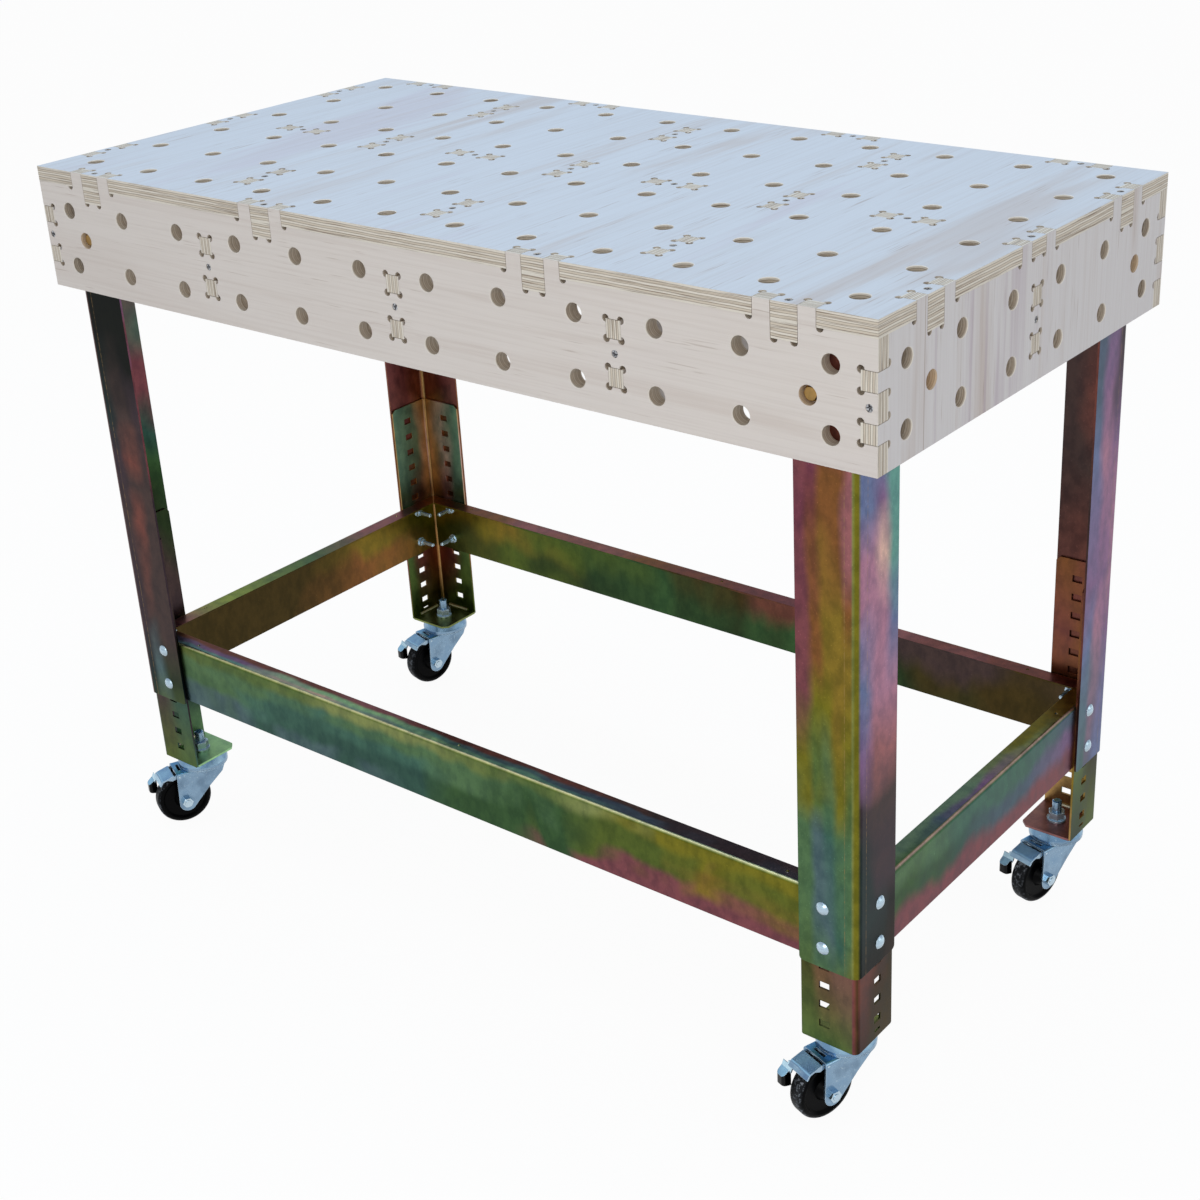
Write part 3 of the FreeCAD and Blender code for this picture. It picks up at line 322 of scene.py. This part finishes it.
def veneer_colours(tree, grain_axis, veneer, streaks, seed):
    """Colour of a face veneer with its grain along one axis, and the fine grain for its bump."""

    def grain(along, across, shift, **settings):
        return tree.noise(stretched(grain_axis, along, across), (seed + shift, shift, seed), **settings)

    broad = grain(0.7, 7.0, 0.0, detail=4.0, roughness=0.6, distortion=0.7)
    fine = grain(5.0, 300.0, 3.0, detail=4.0, roughness=0.6)
    bands = grain(1.6, 42.0, 5.0, detail=3.0, roughness=0.6, distortion=0.5)
    pores = grain(14.0, 420.0, 9.0)
    patches = grain(5.0, 26.0, 14.0, detail=1.0)
    tint = tree.mix(tree.smooth(broad, 0.56, 0.68, 0.0, streaks), veneer, streak_tan)
    tint = tree.mix(tree.smooth(broad, 0.44, 0.34, 0.0, streaks * 0.6), tint, streak_mauve)
    tint = tree.mix(tree.smooth(bands, 0.54, 0.78, 0.0, 0.34), tint, streak_tan)
    tint = tree.mix(tree.smooth(fine, 0.40, 0.75, 0.0, 0.14), tint, pore_brown)
    sparse = tree.both(tree.smooth(pores, 0.62, 0.72, 0.0, 0.4), tree.smooth(patches, 0.46, 0.60))
    return tree.mix(sparse, tint, pore_brown), fine


def figured(tree, shade):
    """Veneer joint beside the front bore of an end apron, with mauve figure behind it."""
    past_joint = tree.math("ADD", tree.position["y"], veneer_joint)
    joint = tree.smooth(tree.math("ABSOLUTE", past_joint), veneer_joint_half, line_core)
    stripes = tree.noise((0.6, 46.0, 1.6), detail=3.0, roughness=0.6, distortion=0.4)
    near = tree.both(tree.smooth(past_joint, *figure_in), tree.smooth(past_joint, *figure_out))
    shade = tree.mix(tree.both(near, tree.smooth(stripes, 0.50, 0.66, 0.0, 0.5)), shade, figure_mauve)
    return tree.mix(tree.both(joint, 0.6), shade, pore_brown)


def raw_bore_mask(tree, thickness_axis):
    """1 inside the plain bores of an apron, where the wood is fresh."""
    if thickness_axis == "y":
        offset = tree.math("SUBTRACT", tree.math("ABSOLUTE", tree.position["x"]), leg_bolt_x)
    else:
        front = tree.math("ADD", tree.position["y"], side_bore_front)
        rear = tree.math("SUBTRACT", tree.position["y"], side_bore_rear)
        offset = tree.math("MINIMUM", tree.math("ABSOLUTE", front), tree.math("ABSOLUTE", rear))
    height = tree.math("SUBTRACT", tree.position["z"], bore_z)
    distance = tree.math("SQRT", tree.math("ADD", tree.both(offset, offset), tree.both(height, height)))
    return tree.math("LESS_THAN", distance, raw_bore_radius)


def plywood(name, board, grain_axis, veneer, streaks, seed, bores=False, wall_darkening=0.45):
    """Plywood of one board: face veneers, plies on the outer edges, darker walls in holes.

    streaks is how strong the veneer's streaks are, and the last argument how much darker the walls of holes
    are.
    """
    tree = Tree(name)
    spans = {axis: limits(board, axis) for axis in axes}
    thickness_axis = min(axes, key=lambda axis: spans[axis][1] - spans[axis][0])
    veneers, fine = veneer_colours(tree, grain_axis, veneer, streaks, seed)
    if thickness_axis == "x" and bores:
        veneers = figured(tree, veneers)
    plies = layer_colours(tree, thickness_axis, spans[thickness_axis][0], seed)
    inside = 1.0
    for axis in axes.replace(thickness_axis, ""):
        low, high = spans[axis]
        inside = tree.both(inside, within(tree, axis, low + board_edge, high - board_edge))
    walls = tree.mix(inside, plies, tree.mix(wall_darkening, plies, routed_wall))
    if bores:
        walls = tree.mix(raw_bore_mask(tree, thickness_axis), walls, tree.mix(0.5, plies, raw_wall))
    slope = tree.turned_to(thickness_axis)
    rim = tree.mix(tree.smooth(slope, 0.3, 0.5), walls, chamfer_wood)
    shade = tree.mix(tree.smooth(slope, 0.8, 0.9), rim, veneers)
    return tree.surface(
        Base_Color=shade,
        Roughness=0.62,
        Specular_IOR_Level=0.35,
        Normal=tree.bump(fine, tree.rounded(wood_edge_radius), strength=0.12, distance=0.0004),
    )


# ---- passivated steel ------------------------------------------------------------------
border_softness = 0.40          # of a column's width, either side of a border
border_sway = 0.55              # of a column's width, by which the borders wander
run_sway = 0.11                 # of a face's length, by which the colours wander along it


def painted(tree, columns, along, across):
    """Film colours of a face, with painted shade and highlight among them: columns side by side across it,
    as wide as each other.

    Each column is a run of colour names from low to high along the face.
    """
    shade = None
    for place, column in enumerate(columns):
        names = column.split()
        stops = [(step / (len(names) - 1), film_and_painted_light[name]) for step, name in enumerate(names)]
        if shade is None:
            shade = tree.ramp(along, stops)
        else:
            border = place / len(columns)
            spread = border_softness / len(columns)
            mask = tree.smooth(across, border - spread, border + spread)
            shade = tree.mix(mask, shade, tree.ramp(along, stops))
    return shade


def film_and_light_colours(tree, faces, seed):
    """Film colours of one or two faces, painted shade and reflection among them, and how far the surface is
    turned to the last of them.
    """
    cloud = tree.noise((8, 8, 5), (seed, seed, seed), distortion=0.5)
    drift = tree.noise((15, 15, 7), (0, seed, 0), detail=3.0, roughness=0.45)
    shade = None
    for facing_axis, (columns, along, along_limits, across, across_limits) in faces.items():
        up = tree.linear(tree.position[along], *along_limits)
        up = tree.math("ADD", up, tree.linear(cloud, 0.25, 0.75, -run_sway, run_sway))
        sway = border_sway / len(columns)
        side = tree.linear(tree.position[across], *across_limits)
        side = tree.math("ADD", side, tree.linear(drift, 0.25, 0.75, -sway, sway))
        face = painted(tree, columns, up, side)
        turned = tree.turned_to(facing_axis)
        shade = face if shade is None else tree.mix(tree.smooth(turned, 0.45, 0.75), shade, face)
    return shade, turned


def bend_highlight(tree, shade, turned, bend):
    """Painted highlight around the rounded bend, in film colours in the order in which the surface turns.
    """
    stops = [(place, film_and_painted_light[name]) for place, name in zip((0.15, 0.5, 0.85), bend.split())]
    mask = tree.both(tree.smooth(turned, 0.04, 0.3), tree.smooth(turned, 0.97, 0.75))
    return tree.mix(mask, shade, tree.ramp(turned, stops))


def die_line(tree, shade, facing_axis, axis, place):
    """Broken light line where the die pressed the sheet, across an axis at a place on it."""
    dots = tree.noise((30, 30, 200), (place, 0, 0), detail=1.0)
    offset = tree.math("ABSOLUTE", tree.math("SUBTRACT", tree.position[axis], place))
    line = tree.both(tree.smooth(offset, mark_half, line_core), tree.smooth(dots, 0.42, 0.62, 0.1, 0.45))
    mask = tree.both(line, tree.smooth(tree.turned_to(facing_axis), 0.8, 0.9))
    return tree.mix(mask, shade, film_and_painted_light["sand"])


def passivated(name, faces, seed, bend="", marks=()):
    """Yellow-passivated steel sheet, with painted shade, reflection and highlight in its film colours.

    faces holds, for the axis a face looks along, its film columns, the axis and limits they run
    along, and the axis and limits across them. bend names the colours of the painted highlight around the
    rounded bend.
    marks are the die lines beside a bend: the axis faced, the axis crossed and the place on it.
    """
    tree = Tree(name)
    shade, turned = film_and_light_colours(tree, faces, seed)
    if bend:
        shade = bend_highlight(tree, shade, turned, bend)
    mottle = tree.noise((70, 70, 45), (seed, 0, 0), detail=4.0, roughness=0.6)
    grain = tree.noise((520, 520, 520))
    spark = tree.smooth(grain, 0.62, 0.85, 1.0, 1.7)
    shade = tree.lit(shade, *[tree.smooth(mottle, 0.3, 0.7, 0.80, bright) for bright in (1.30, 1.22, 1.12)])
    shade = tree.lit(shade, spark, spark, spark)
    for mark in marks:
        shade = die_line(tree, shade, *mark)
    return tree.surface(
        Base_Color=shade,
        Metallic=1.0,
        Specular_Tint=(0.8, 0.8, 0.8, 1.0),
        Roughness=tree.linear(mottle, 0.3, 0.7, 0.30, 0.42),
        Normal=tree.bump(grain, tree.rounded(steel_edge_radius), strength=0.06, distance=0.0003),
    )


# ---- zinc, screws and rubber -----------------------------------------------------------
def zinc(name, seed, roughness, metallic, lift=0.0, shade_below=None):
    """Bright zinc plating with painted reflection of a light ceiling and a darker room, and painted
    highlights on its edges.

    lift brightens it as a whole, and below the height given last its upright faces are painted black as
    shade.
    """
    tree = Tree(name)
    cloud = tree.noise((40, 40, 40), (seed, 0, 0))
    speck = tree.noise((300, 300, 300), (seed, 0, 0), detail=3.0, roughness=0.6)
    rounded = tree.rounded(zinc_edge_radius)
    even = tree.add("VectorMath", tree.flat_normal, rounded, operation="DOT_PRODUCT").outputs["Value"]
    # painted reflection: colour by how far the surface looks up, darker down and lighter up
    rise = tree.math("ADD", tree.by_axis(rounded)["z"], tree.linear(cloud, 0.3, 0.7, -0.10, 0.10))
    shade = tree.ramp(tree.linear(rise, -1.0, 1.0), zinc_painted_reflection)
    shade = tree.mix(tree.smooth(speck, 0.60, 0.75, 0.0, 0.4), shade, zinc_pale)
    shade = tree.mix(lift, shade, zinc_pale)
    # painted highlight where the rounded edges turn
    shade = tree.mix(tree.smooth(even, 0.995, 0.90, 0.0, 0.9), shade, zinc_pale)
    # painted shade: low upright faces of the pedals are black, as under the tongue
    if shade_below:
        low = tree.smooth(tree.position["z"], shade_below + pedal_shade_fade, shade_below - pedal_shade_fade)
        upright = tree.smooth(tree.turned_to("z"), 0.5, 0.3)
        shade = tree.mix(tree.both(low, upright), shade, rubber_and_shade_black)
    return tree.surface(
        Base_Color=shade,
        Metallic=metallic,
        Roughness=tree.linear(cloud, 0.3, 0.7, roughness, roughness + 0.06),
        Normal=tree.bump(cloud, rounded, strength=0.03, distance=0.0003),
    )


def steel_screw():
    """Plain steel of the wood screws, with dirt in it."""
    tree = Tree("screw_steel")
    dirt = tree.noise((500, 500, 500), detail=3.0)
    shade = tree.mix(tree.smooth(dirt, 0.35, 0.65), screw_metal, screw_dirt)
    return tree.surface(Base_Color=shade, Metallic=0.9, Roughness=0.38)


def wheel_rubber(corner):
    """Black wheel with a dusty tread; the faces stay darker."""
    low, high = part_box("caster_wheel_" + corner)
    middle = (low + high) / 2
    tree = Tree("wheel_rubber_" + corner)
    centred = tree.add("VectorMath", tree.place, tuple(middle), operation="SUBTRACT").outputs[0]
    radius = tree.add("VectorMath", centred, operation="LENGTH").outputs["Value"]
    dust = tree.noise((230, 230, 230), detail=5.0, roughness=0.7)
    smear = tree.noise((40, 40, 40))
    worn = tree.both(tree.smooth(radius, *tread_dust), tree.smooth(smear, 0.35, 0.65, 0.25, 0.9))
    amount = tree.math("ADD", tree.both(worn, 0.08), tree.both(tree.smooth(dust, 0.52, 0.60), worn))
    shade = tree.mix(amount, rubber_and_shade_black, rubber_dust)
    return tree.surface(
        Base_Color=shade,
        Roughness=tree.linear(amount, 0.0, 0.6, 0.36, 0.75),
        Specular_IOR_Level=0.05,
        Normal=tree.bump(dust, tree.rounded(rubber_edge_radius), strength=0.12, distance=0.0005),
    )


# ---- dressing the CAD nodes ------------------------------------------------------------
# Boards: the axis of the face grain, the veneer, its streaks and a seed.
aprons = {
    "front_apron": ("x", apron_veneer, 0.15, 1.0),
    "rear_apron": ("x", apron_veneer, 0.3, 11.0),
    "right_apron": ("z", side_veneer, 0.75, 4.0),
    "left_apron": ("z", side_veneer, 0.6, 14.0),
}
ribs = {
    "long_rib": ("x", apron_veneer, 0.3, 17.0),
    "left_cross_rib": ("z", apron_veneer, 0.3, 21.0),
    "middle_cross_rib": ("z", apron_veneer, 0.3, 23.0),
    "right_cross_rib": ("z", apron_veneer, 0.3, 25.0),
}

# Legs: for the faces that look along x and y, film columns from the free edge to the bend,
# each from the bottom up, and the colours around the bend from the y face to the x face.
# The columns hold painted shade and dark reflection, and lighter colours that lift shaded inner
# faces, besides the film; the bend colours are a painted highlight.
upper_legs = {
    "front_right": {
        "y": (
            "moss fern fern olive plum plum plum maroon plum plum plum",
            "fern teal teal moss olive bronze bronze umber maroon maroon maroon",
            "fern teal jade fern olive ochre ochre bronze bronze umber maroon",
            "moss jade fern olive ochre ochre ochre bronze bronze umber umber",
            "olive fern fern moss olive ochre bronze rose rose rose rose",
        ),
        "x": (
            "soot coal dusk smoke rose pink blue aqua aqua aqua aqua",
            "coal night dusk smoke rose pink pink blush violet blue blue",
            "coal night night dusk violet blue pink pink blue blue blue",
        ),
        "bend": "leaf olive olive",
    },
    "front_left": {
        "y": (
            "moss pine smoke smoke smoke smoke dusk coal coal coal coal",
            "drab teal smoke umber smoke umber smoke coal coal coal coal",
            "pine night dusk smoke dusk dusk night coal coal coal coal",
        ),
        "x": (
            "pine coal pine pine forest sea plum plum jade jade slate",
            "dusk night dusk dusk dusk plum plum plum violet plum violet",
        ),
        "bend": "umber dusk coal",
    },
    "rear_left": {
        "y": ("pine umber rose rose", "umber bronze rose rose"),
        "x": ("fern umber plum rose", "umber bronze rose plum"),
        "bend": "bronze sand bronze",
    },
    "rear_right": {
        "y": ("earth umber smoke smoke smoke", "coal umber smoke umber smoke"),
        "x": (
            "jade blue violet blue slate jade",
            "slate pink violet pink violet slate",
            "blue violet pink violet dusk dusk",
        ),
        "bend": "umber plum rose",
    },
}
lower_legs = {
    "front_right": {
        "y": ("moss earth earth bronze", "moss umber maroon umber", "moss plum plum bronze"),
        "x": ("earth soot soot earth", "soot umber soot earth"),
        "bend": "plum umber earth",
    },
    "front_left": {
        "y": ("moss sea slate pine", "drab smoke smoke plum"),
        "x": ("fern night night dusk smoke pine", "jade dusk coal coal smoke smoke"),
        "bend": "fern smoke smoke",
    },
    "rear_left": {
        "y": ("drab moss sage sage sage", "drab umber rose blush blush", "drab umber sand sand sand"),
        "x": ("drab moss sage sage sage", "drab umber umber sage sage", "drab bronze sand blush sand"),
        "bend": "bronze sand bronze",
    },
    "rear_right": {
        "y": ("sand sand bronze umber bronze", "sand ochre umber bronze umber"),
        "x": ("pine moss soot moss", "drab soot earth umber"),
        "bend": "bronze earth earth",
    },
}

# Stretchers: the axis they run along, film columns of the web from the bottom up and of the
# flange from low to high, each from low to high along the run, and the bend from flange to web.
# The columns hold painted shade and painted reflection besides the film, and the bend colours
# are a painted highlight.
stretchers = {
    "front_stretcher": {
        "along": "x",
        "web": (
            "forest teal sea teal sea sea forest forest plum plum plum bronze",
            "forest teal jade sea sea sea forest forest drab plum ochre umber",
            "forest fern jade sea jade jade fern forest drab drab ochre umber",
            "moss fern fern jade fern fern fern forest drab drab olive umber",
            "olive moss moss leaf leaf leaf moss leaf olive olive olive",
        ),
        "flange": (
            "blue aqua blush aqua mint aqua slate dusk dusk",
            "slate violet mint mint aqua slate slate dusk dusk",
            "bronze umber umber rose umber umber smoke dusk dusk",
        ),
        "bend": "aqua shine lime",
    },
    "rear_stretcher": {
        "along": "x",
        "web": (
            "earth drab pine forest pine forest pine earth earth",
            "olive ochre drab forest earth umber smoke smoke earth",
        ),
        "flange": ("umber bronze rose bronze umber plum rose umber umber",),
        "bend": "bronze ochre olive",
    },
    "right_stretcher": {
        "along": "y",
        "web": (
            "dusk plum plum plum plum violet",
            "forest forest sea slate violet slate",
            "fern fern jade jade slate slate",
        ),
        "flange": ("olive sage sage sage olive ochre ochre", "fern fern slate violet leaf ochre ochre"),
        "bend": "leaf blush fern",
    },
    "left_stretcher": {
        "along": "y",
        "web": ("earth earth earth bronze ochre", "earth earth earth ochre olive"),
        "flange": ("rose lime fern rose bronze",),
        "bend": "bronze lime shine",
    },
}


def wear(names, material):
    """Give nodes one material in all their slots."""
    for name in names:
        mesh = nodes[name].data
        mesh.materials.clear()
        mesh.materials.append(material)


def dress_boards():
    """Plywood on every board; the walls of the top's bores are less darkened than the others."""
    top_birch = plywood("top_birch", "top_panel", "y", top_veneer, streaks=0.42, seed=2.0, wall_darkening=0.1)
    wear(["top_panel"], top_birch)
    wear(["sub_top"], plywood("sub_birch", "sub_top", "x", apron_veneer, streaks=0.3, seed=7.0))
    for node, settings in aprons.items():
        wear([node], plywood("birch_" + node, node, *settings, bores=True))
    for node, settings in ribs.items():
        wear([node], plywood("birch_" + node, node, *settings))


def from_middle(node, axis):
    """Limits of a leg along an axis, the one nearer to the table's middle first."""
    return sorted(limits(node, axis), key=abs)


def leg_faces(node, films):
    """Faces of a leg as passivated takes them."""
    height = limits(node, "z")
    return {
        "y": (films["y"], "z", height, "x", from_middle(node, "x")),
        "x": (films["x"], "z", height, "y", from_middle(node, "y")),
    }


def die_lines(node):
    """Die lines beside the bend of a leg, as passivated takes them."""
    marks = []
    for facing_axis, axis in (("y", "x"), ("x", "y")):
        outer = from_middle(node, axis)[1]
        marks.append((facing_axis, axis, outer - math.copysign(mark_offset, outer)))
    return marks


def stretcher_faces(node, films):
    """Faces of a stretcher as passivated takes them."""
    along = films["along"]
    facing = "y" if along == "x" else "x"
    run = limits(node, along)
    return {
        "z": (films["flange"], along, run, facing, limits(node, facing)),
        facing: (films["web"], along, run, "z", limits(node, "z")),
    }


def dress_frame():
    """Passivated steel on the legs and stretchers, each with its own clouds."""
    for seed, (corner, films) in enumerate(upper_legs.items(), 3):
        node = "upper_leg_" + corner
        faces = leg_faces(node, films)
        wear([node], passivated("passivated_" + node, faces, seed, films["bend"], die_lines(node)))
    for seed, (corner, films) in enumerate(lower_legs.items(), 13):
        node = "lower_leg_" + corner
        wear([node], passivated("passivated_" + node, leg_faces(node, films), seed, films["bend"]))
    for seed, (node, films) in enumerate(stretchers.items(), 23):
        wear([node], passivated("passivated_" + node, stretcher_faces(node, films), seed, films["bend"]))


def dress_small_steel():
    """Foot plates, welds and leg bolts, coloured over the whole table."""
    length = (-half_length, half_length)
    width = (-half_width, half_width)
    plates = {"z": (("mint leaf leaf", "leaf leaf rose"), "x", length, "y", width)}
    welds = {"z": (("steel steel",), "x", length, "y", width)}
    gold = {"y": (("sand ochre sand",), "x", length, "z", (0.0, table_height))}
    wear(["foot_plates"], passivated("passivated_plates", plates, seed=31))
    wear(["foot_welds"], passivated("passivated_welds", welds, seed=37))
    bolts = ["leg_mount_bolts", "leg_mount_washers", "leg_mount_nuts"]
    wear(bolts, passivated("passivated_bolts", gold, seed=41))


def dress_hardware():
    """Zinc on the fasteners and casters, steel on the wood screws, rubber on the wheels."""
    fasteners = ["carriage_bolts", "carriage_nuts", "stem_washers", "stem_nuts", "swivel_balls"]
    wear(fasteners, zinc("zinc_fasteners", seed=2, roughness=0.20, metallic=0.7, lift=0.55))
    wear(["top_screws", "apron_screws"], steel_screw())
    forks = ["caster_fork_" + corner for corner in corners]
    wear(["caster_stems"] + forks, zinc("zinc_pressed", seed=5, roughness=0.24, metallic=0.85))
    pedals = ["brake_pedal_" + corner for corner in corners]
    # the pedals get painted shade, black, on their low upright faces
    pressed = zinc("zinc_pedals", seed=9, roughness=0.20, metallic=0.7, lift=0.2, shade_below=pedal_shade_z)
    wear(pedals, pressed)
    turned = zinc("zinc_turned", seed=7, roughness=0.18, metallic=1.0, lift=0.55)
    for corner in corners:
        wear([piece + corner for piece in ("axle_bolt_", "axle_nut_", "pedal_pin_")], turned)
        wear(["caster_wheel_" + corner], wheel_rubber(corner))


# ---- studio ----------------------------------------------------------------------------
def white_for_viewer(tree, shader, share):
    """Shader that the camera and shiny surfaces see as mostly plain white."""
    path = tree.add("LightPath").outputs
    seen = tree.math("MAXIMUM", path["Is Camera Ray"], path["Is Glossy Ray"])
    seen = tree.math("MAXIMUM", seen, path["Is Transmission Ray"])
    glow = tree.add("Emission", white, 1.0).outputs[0]
    return tree.add("MixShader", tree.both(seen, share), shader, glow).outputs[0]


def make_floor():
    """Floor that carries the shadows and otherwise looks white."""
    bpy.ops.mesh.primitive_plane_add(size=floor_size, location=(0.0, 0.0, 0.0))
    floor = bpy.context.object
    floor.name = "studio_floor"
    tree = Tree("studio_floor")
    matte = tree.add("BsdfDiffuse", tree.mix(tree.noise((3, 3, 3)), floor_light, floor_dark)).outputs[0]
    tree.add("OutputMaterial", white_for_viewer(tree, matte, floor_whiteness))
    floor.data.materials.append(tree.material)


def background(tree, tint, strength):
    """Background shader of the world."""
    node = tree.nodes.new("ShaderNodeBackground")
    node.inputs["Color"].default_value = tint
    node.inputs["Strength"].default_value = strength
    return node.outputs[0]


def make_world():
    """World that lights the table from a dim blue sky and that the camera sees as white."""
    world = bpy.data.worlds.new("studio")
    bpy.context.scene.world = world
    world.use_nodes = True
    tree = world.node_tree
    tree.nodes.clear()
    path = tree.nodes.new("ShaderNodeLightPath").outputs
    mixer = tree.nodes.new("ShaderNodeMixShader")
    output = tree.nodes.new("ShaderNodeOutputWorld")
    tree.links.new(path["Is Camera Ray"], mixer.inputs[0])
    tree.links.new(background(tree, sky_tint, sky_strength), mixer.inputs[1])
    tree.links.new(background(tree, white, 1.0), mixer.inputs[2])
    tree.links.new(mixer.outputs[0], output.inputs[0])


def area_light(name, place, target, size, power, tint):
    """Rectangular light at a place, pointed at a target."""
    data = bpy.data.lights.new(name, "AREA")
    data.shape = "RECTANGLE"
    data.size, data.size_y = size
    data.energy = power
    data.color = tint
    lamp = bpy.data.objects.new(name, data)
    lamp.location = place
    lamp.rotation_euler = (Vector(target) - Vector(place)).to_track_quat("-Z", "Y").to_euler()
    bpy.context.scene.collection.objects.link(lamp)


def make_lights():
    """A large bluish light overhead and two fills."""
    area_light(
        "overhead", place=(-0.2, 0.2, 3.2), target=(0.0, 0.0, 0.5),
        size=(3.0, 2.2), power=36.0, tint=(0.52, 0.74, 1.0),
    )
    area_light(
        "front_fill", place=(1.4, -2.9, 1.6), target=(0.3, 0.0, 0.6),
        size=(2.0, 1.6), power=26.0, tint=(1.0, 0.99, 0.97),
    )
    area_light(
        "right_fill", place=(3.2, 0.6, 1.4), target=(0.2, 0.0, 0.6),
        size=(1.6, 1.6), power=6.0, tint=(1.0, 1.0, 1.0),
    )


def make_camera():
    """Camera in front of the right corner, turned, tilted down and rolled a little."""
    data = bpy.data.cameras.new("camera")
    data.sensor_width = camera_sensor
    data.lens = camera_lens
    data.shift_x, data.shift_y = camera_shift
    camera = bpy.data.objects.new("camera", data)
    turn = Matrix.Rotation(camera_yaw, 4, "Z") @ Matrix.Rotation(math.pi / 2 - camera_pitch, 4, "X")
    camera.matrix_world = Matrix.Translation(camera_place) @ turn @ Matrix.Rotation(camera_roll, 4, "Z")
    bpy.context.scene.collection.objects.link(camera)
    bpy.context.scene.camera = camera


# ---- build the scene -------------------------------------------------------------------
dress_boards()
dress_frame()
dress_small_steel()
dress_hardware()
make_world()
make_floor()
make_lights()
make_camera()
bpy.context.scene.view_settings.view_transform = "Standard"
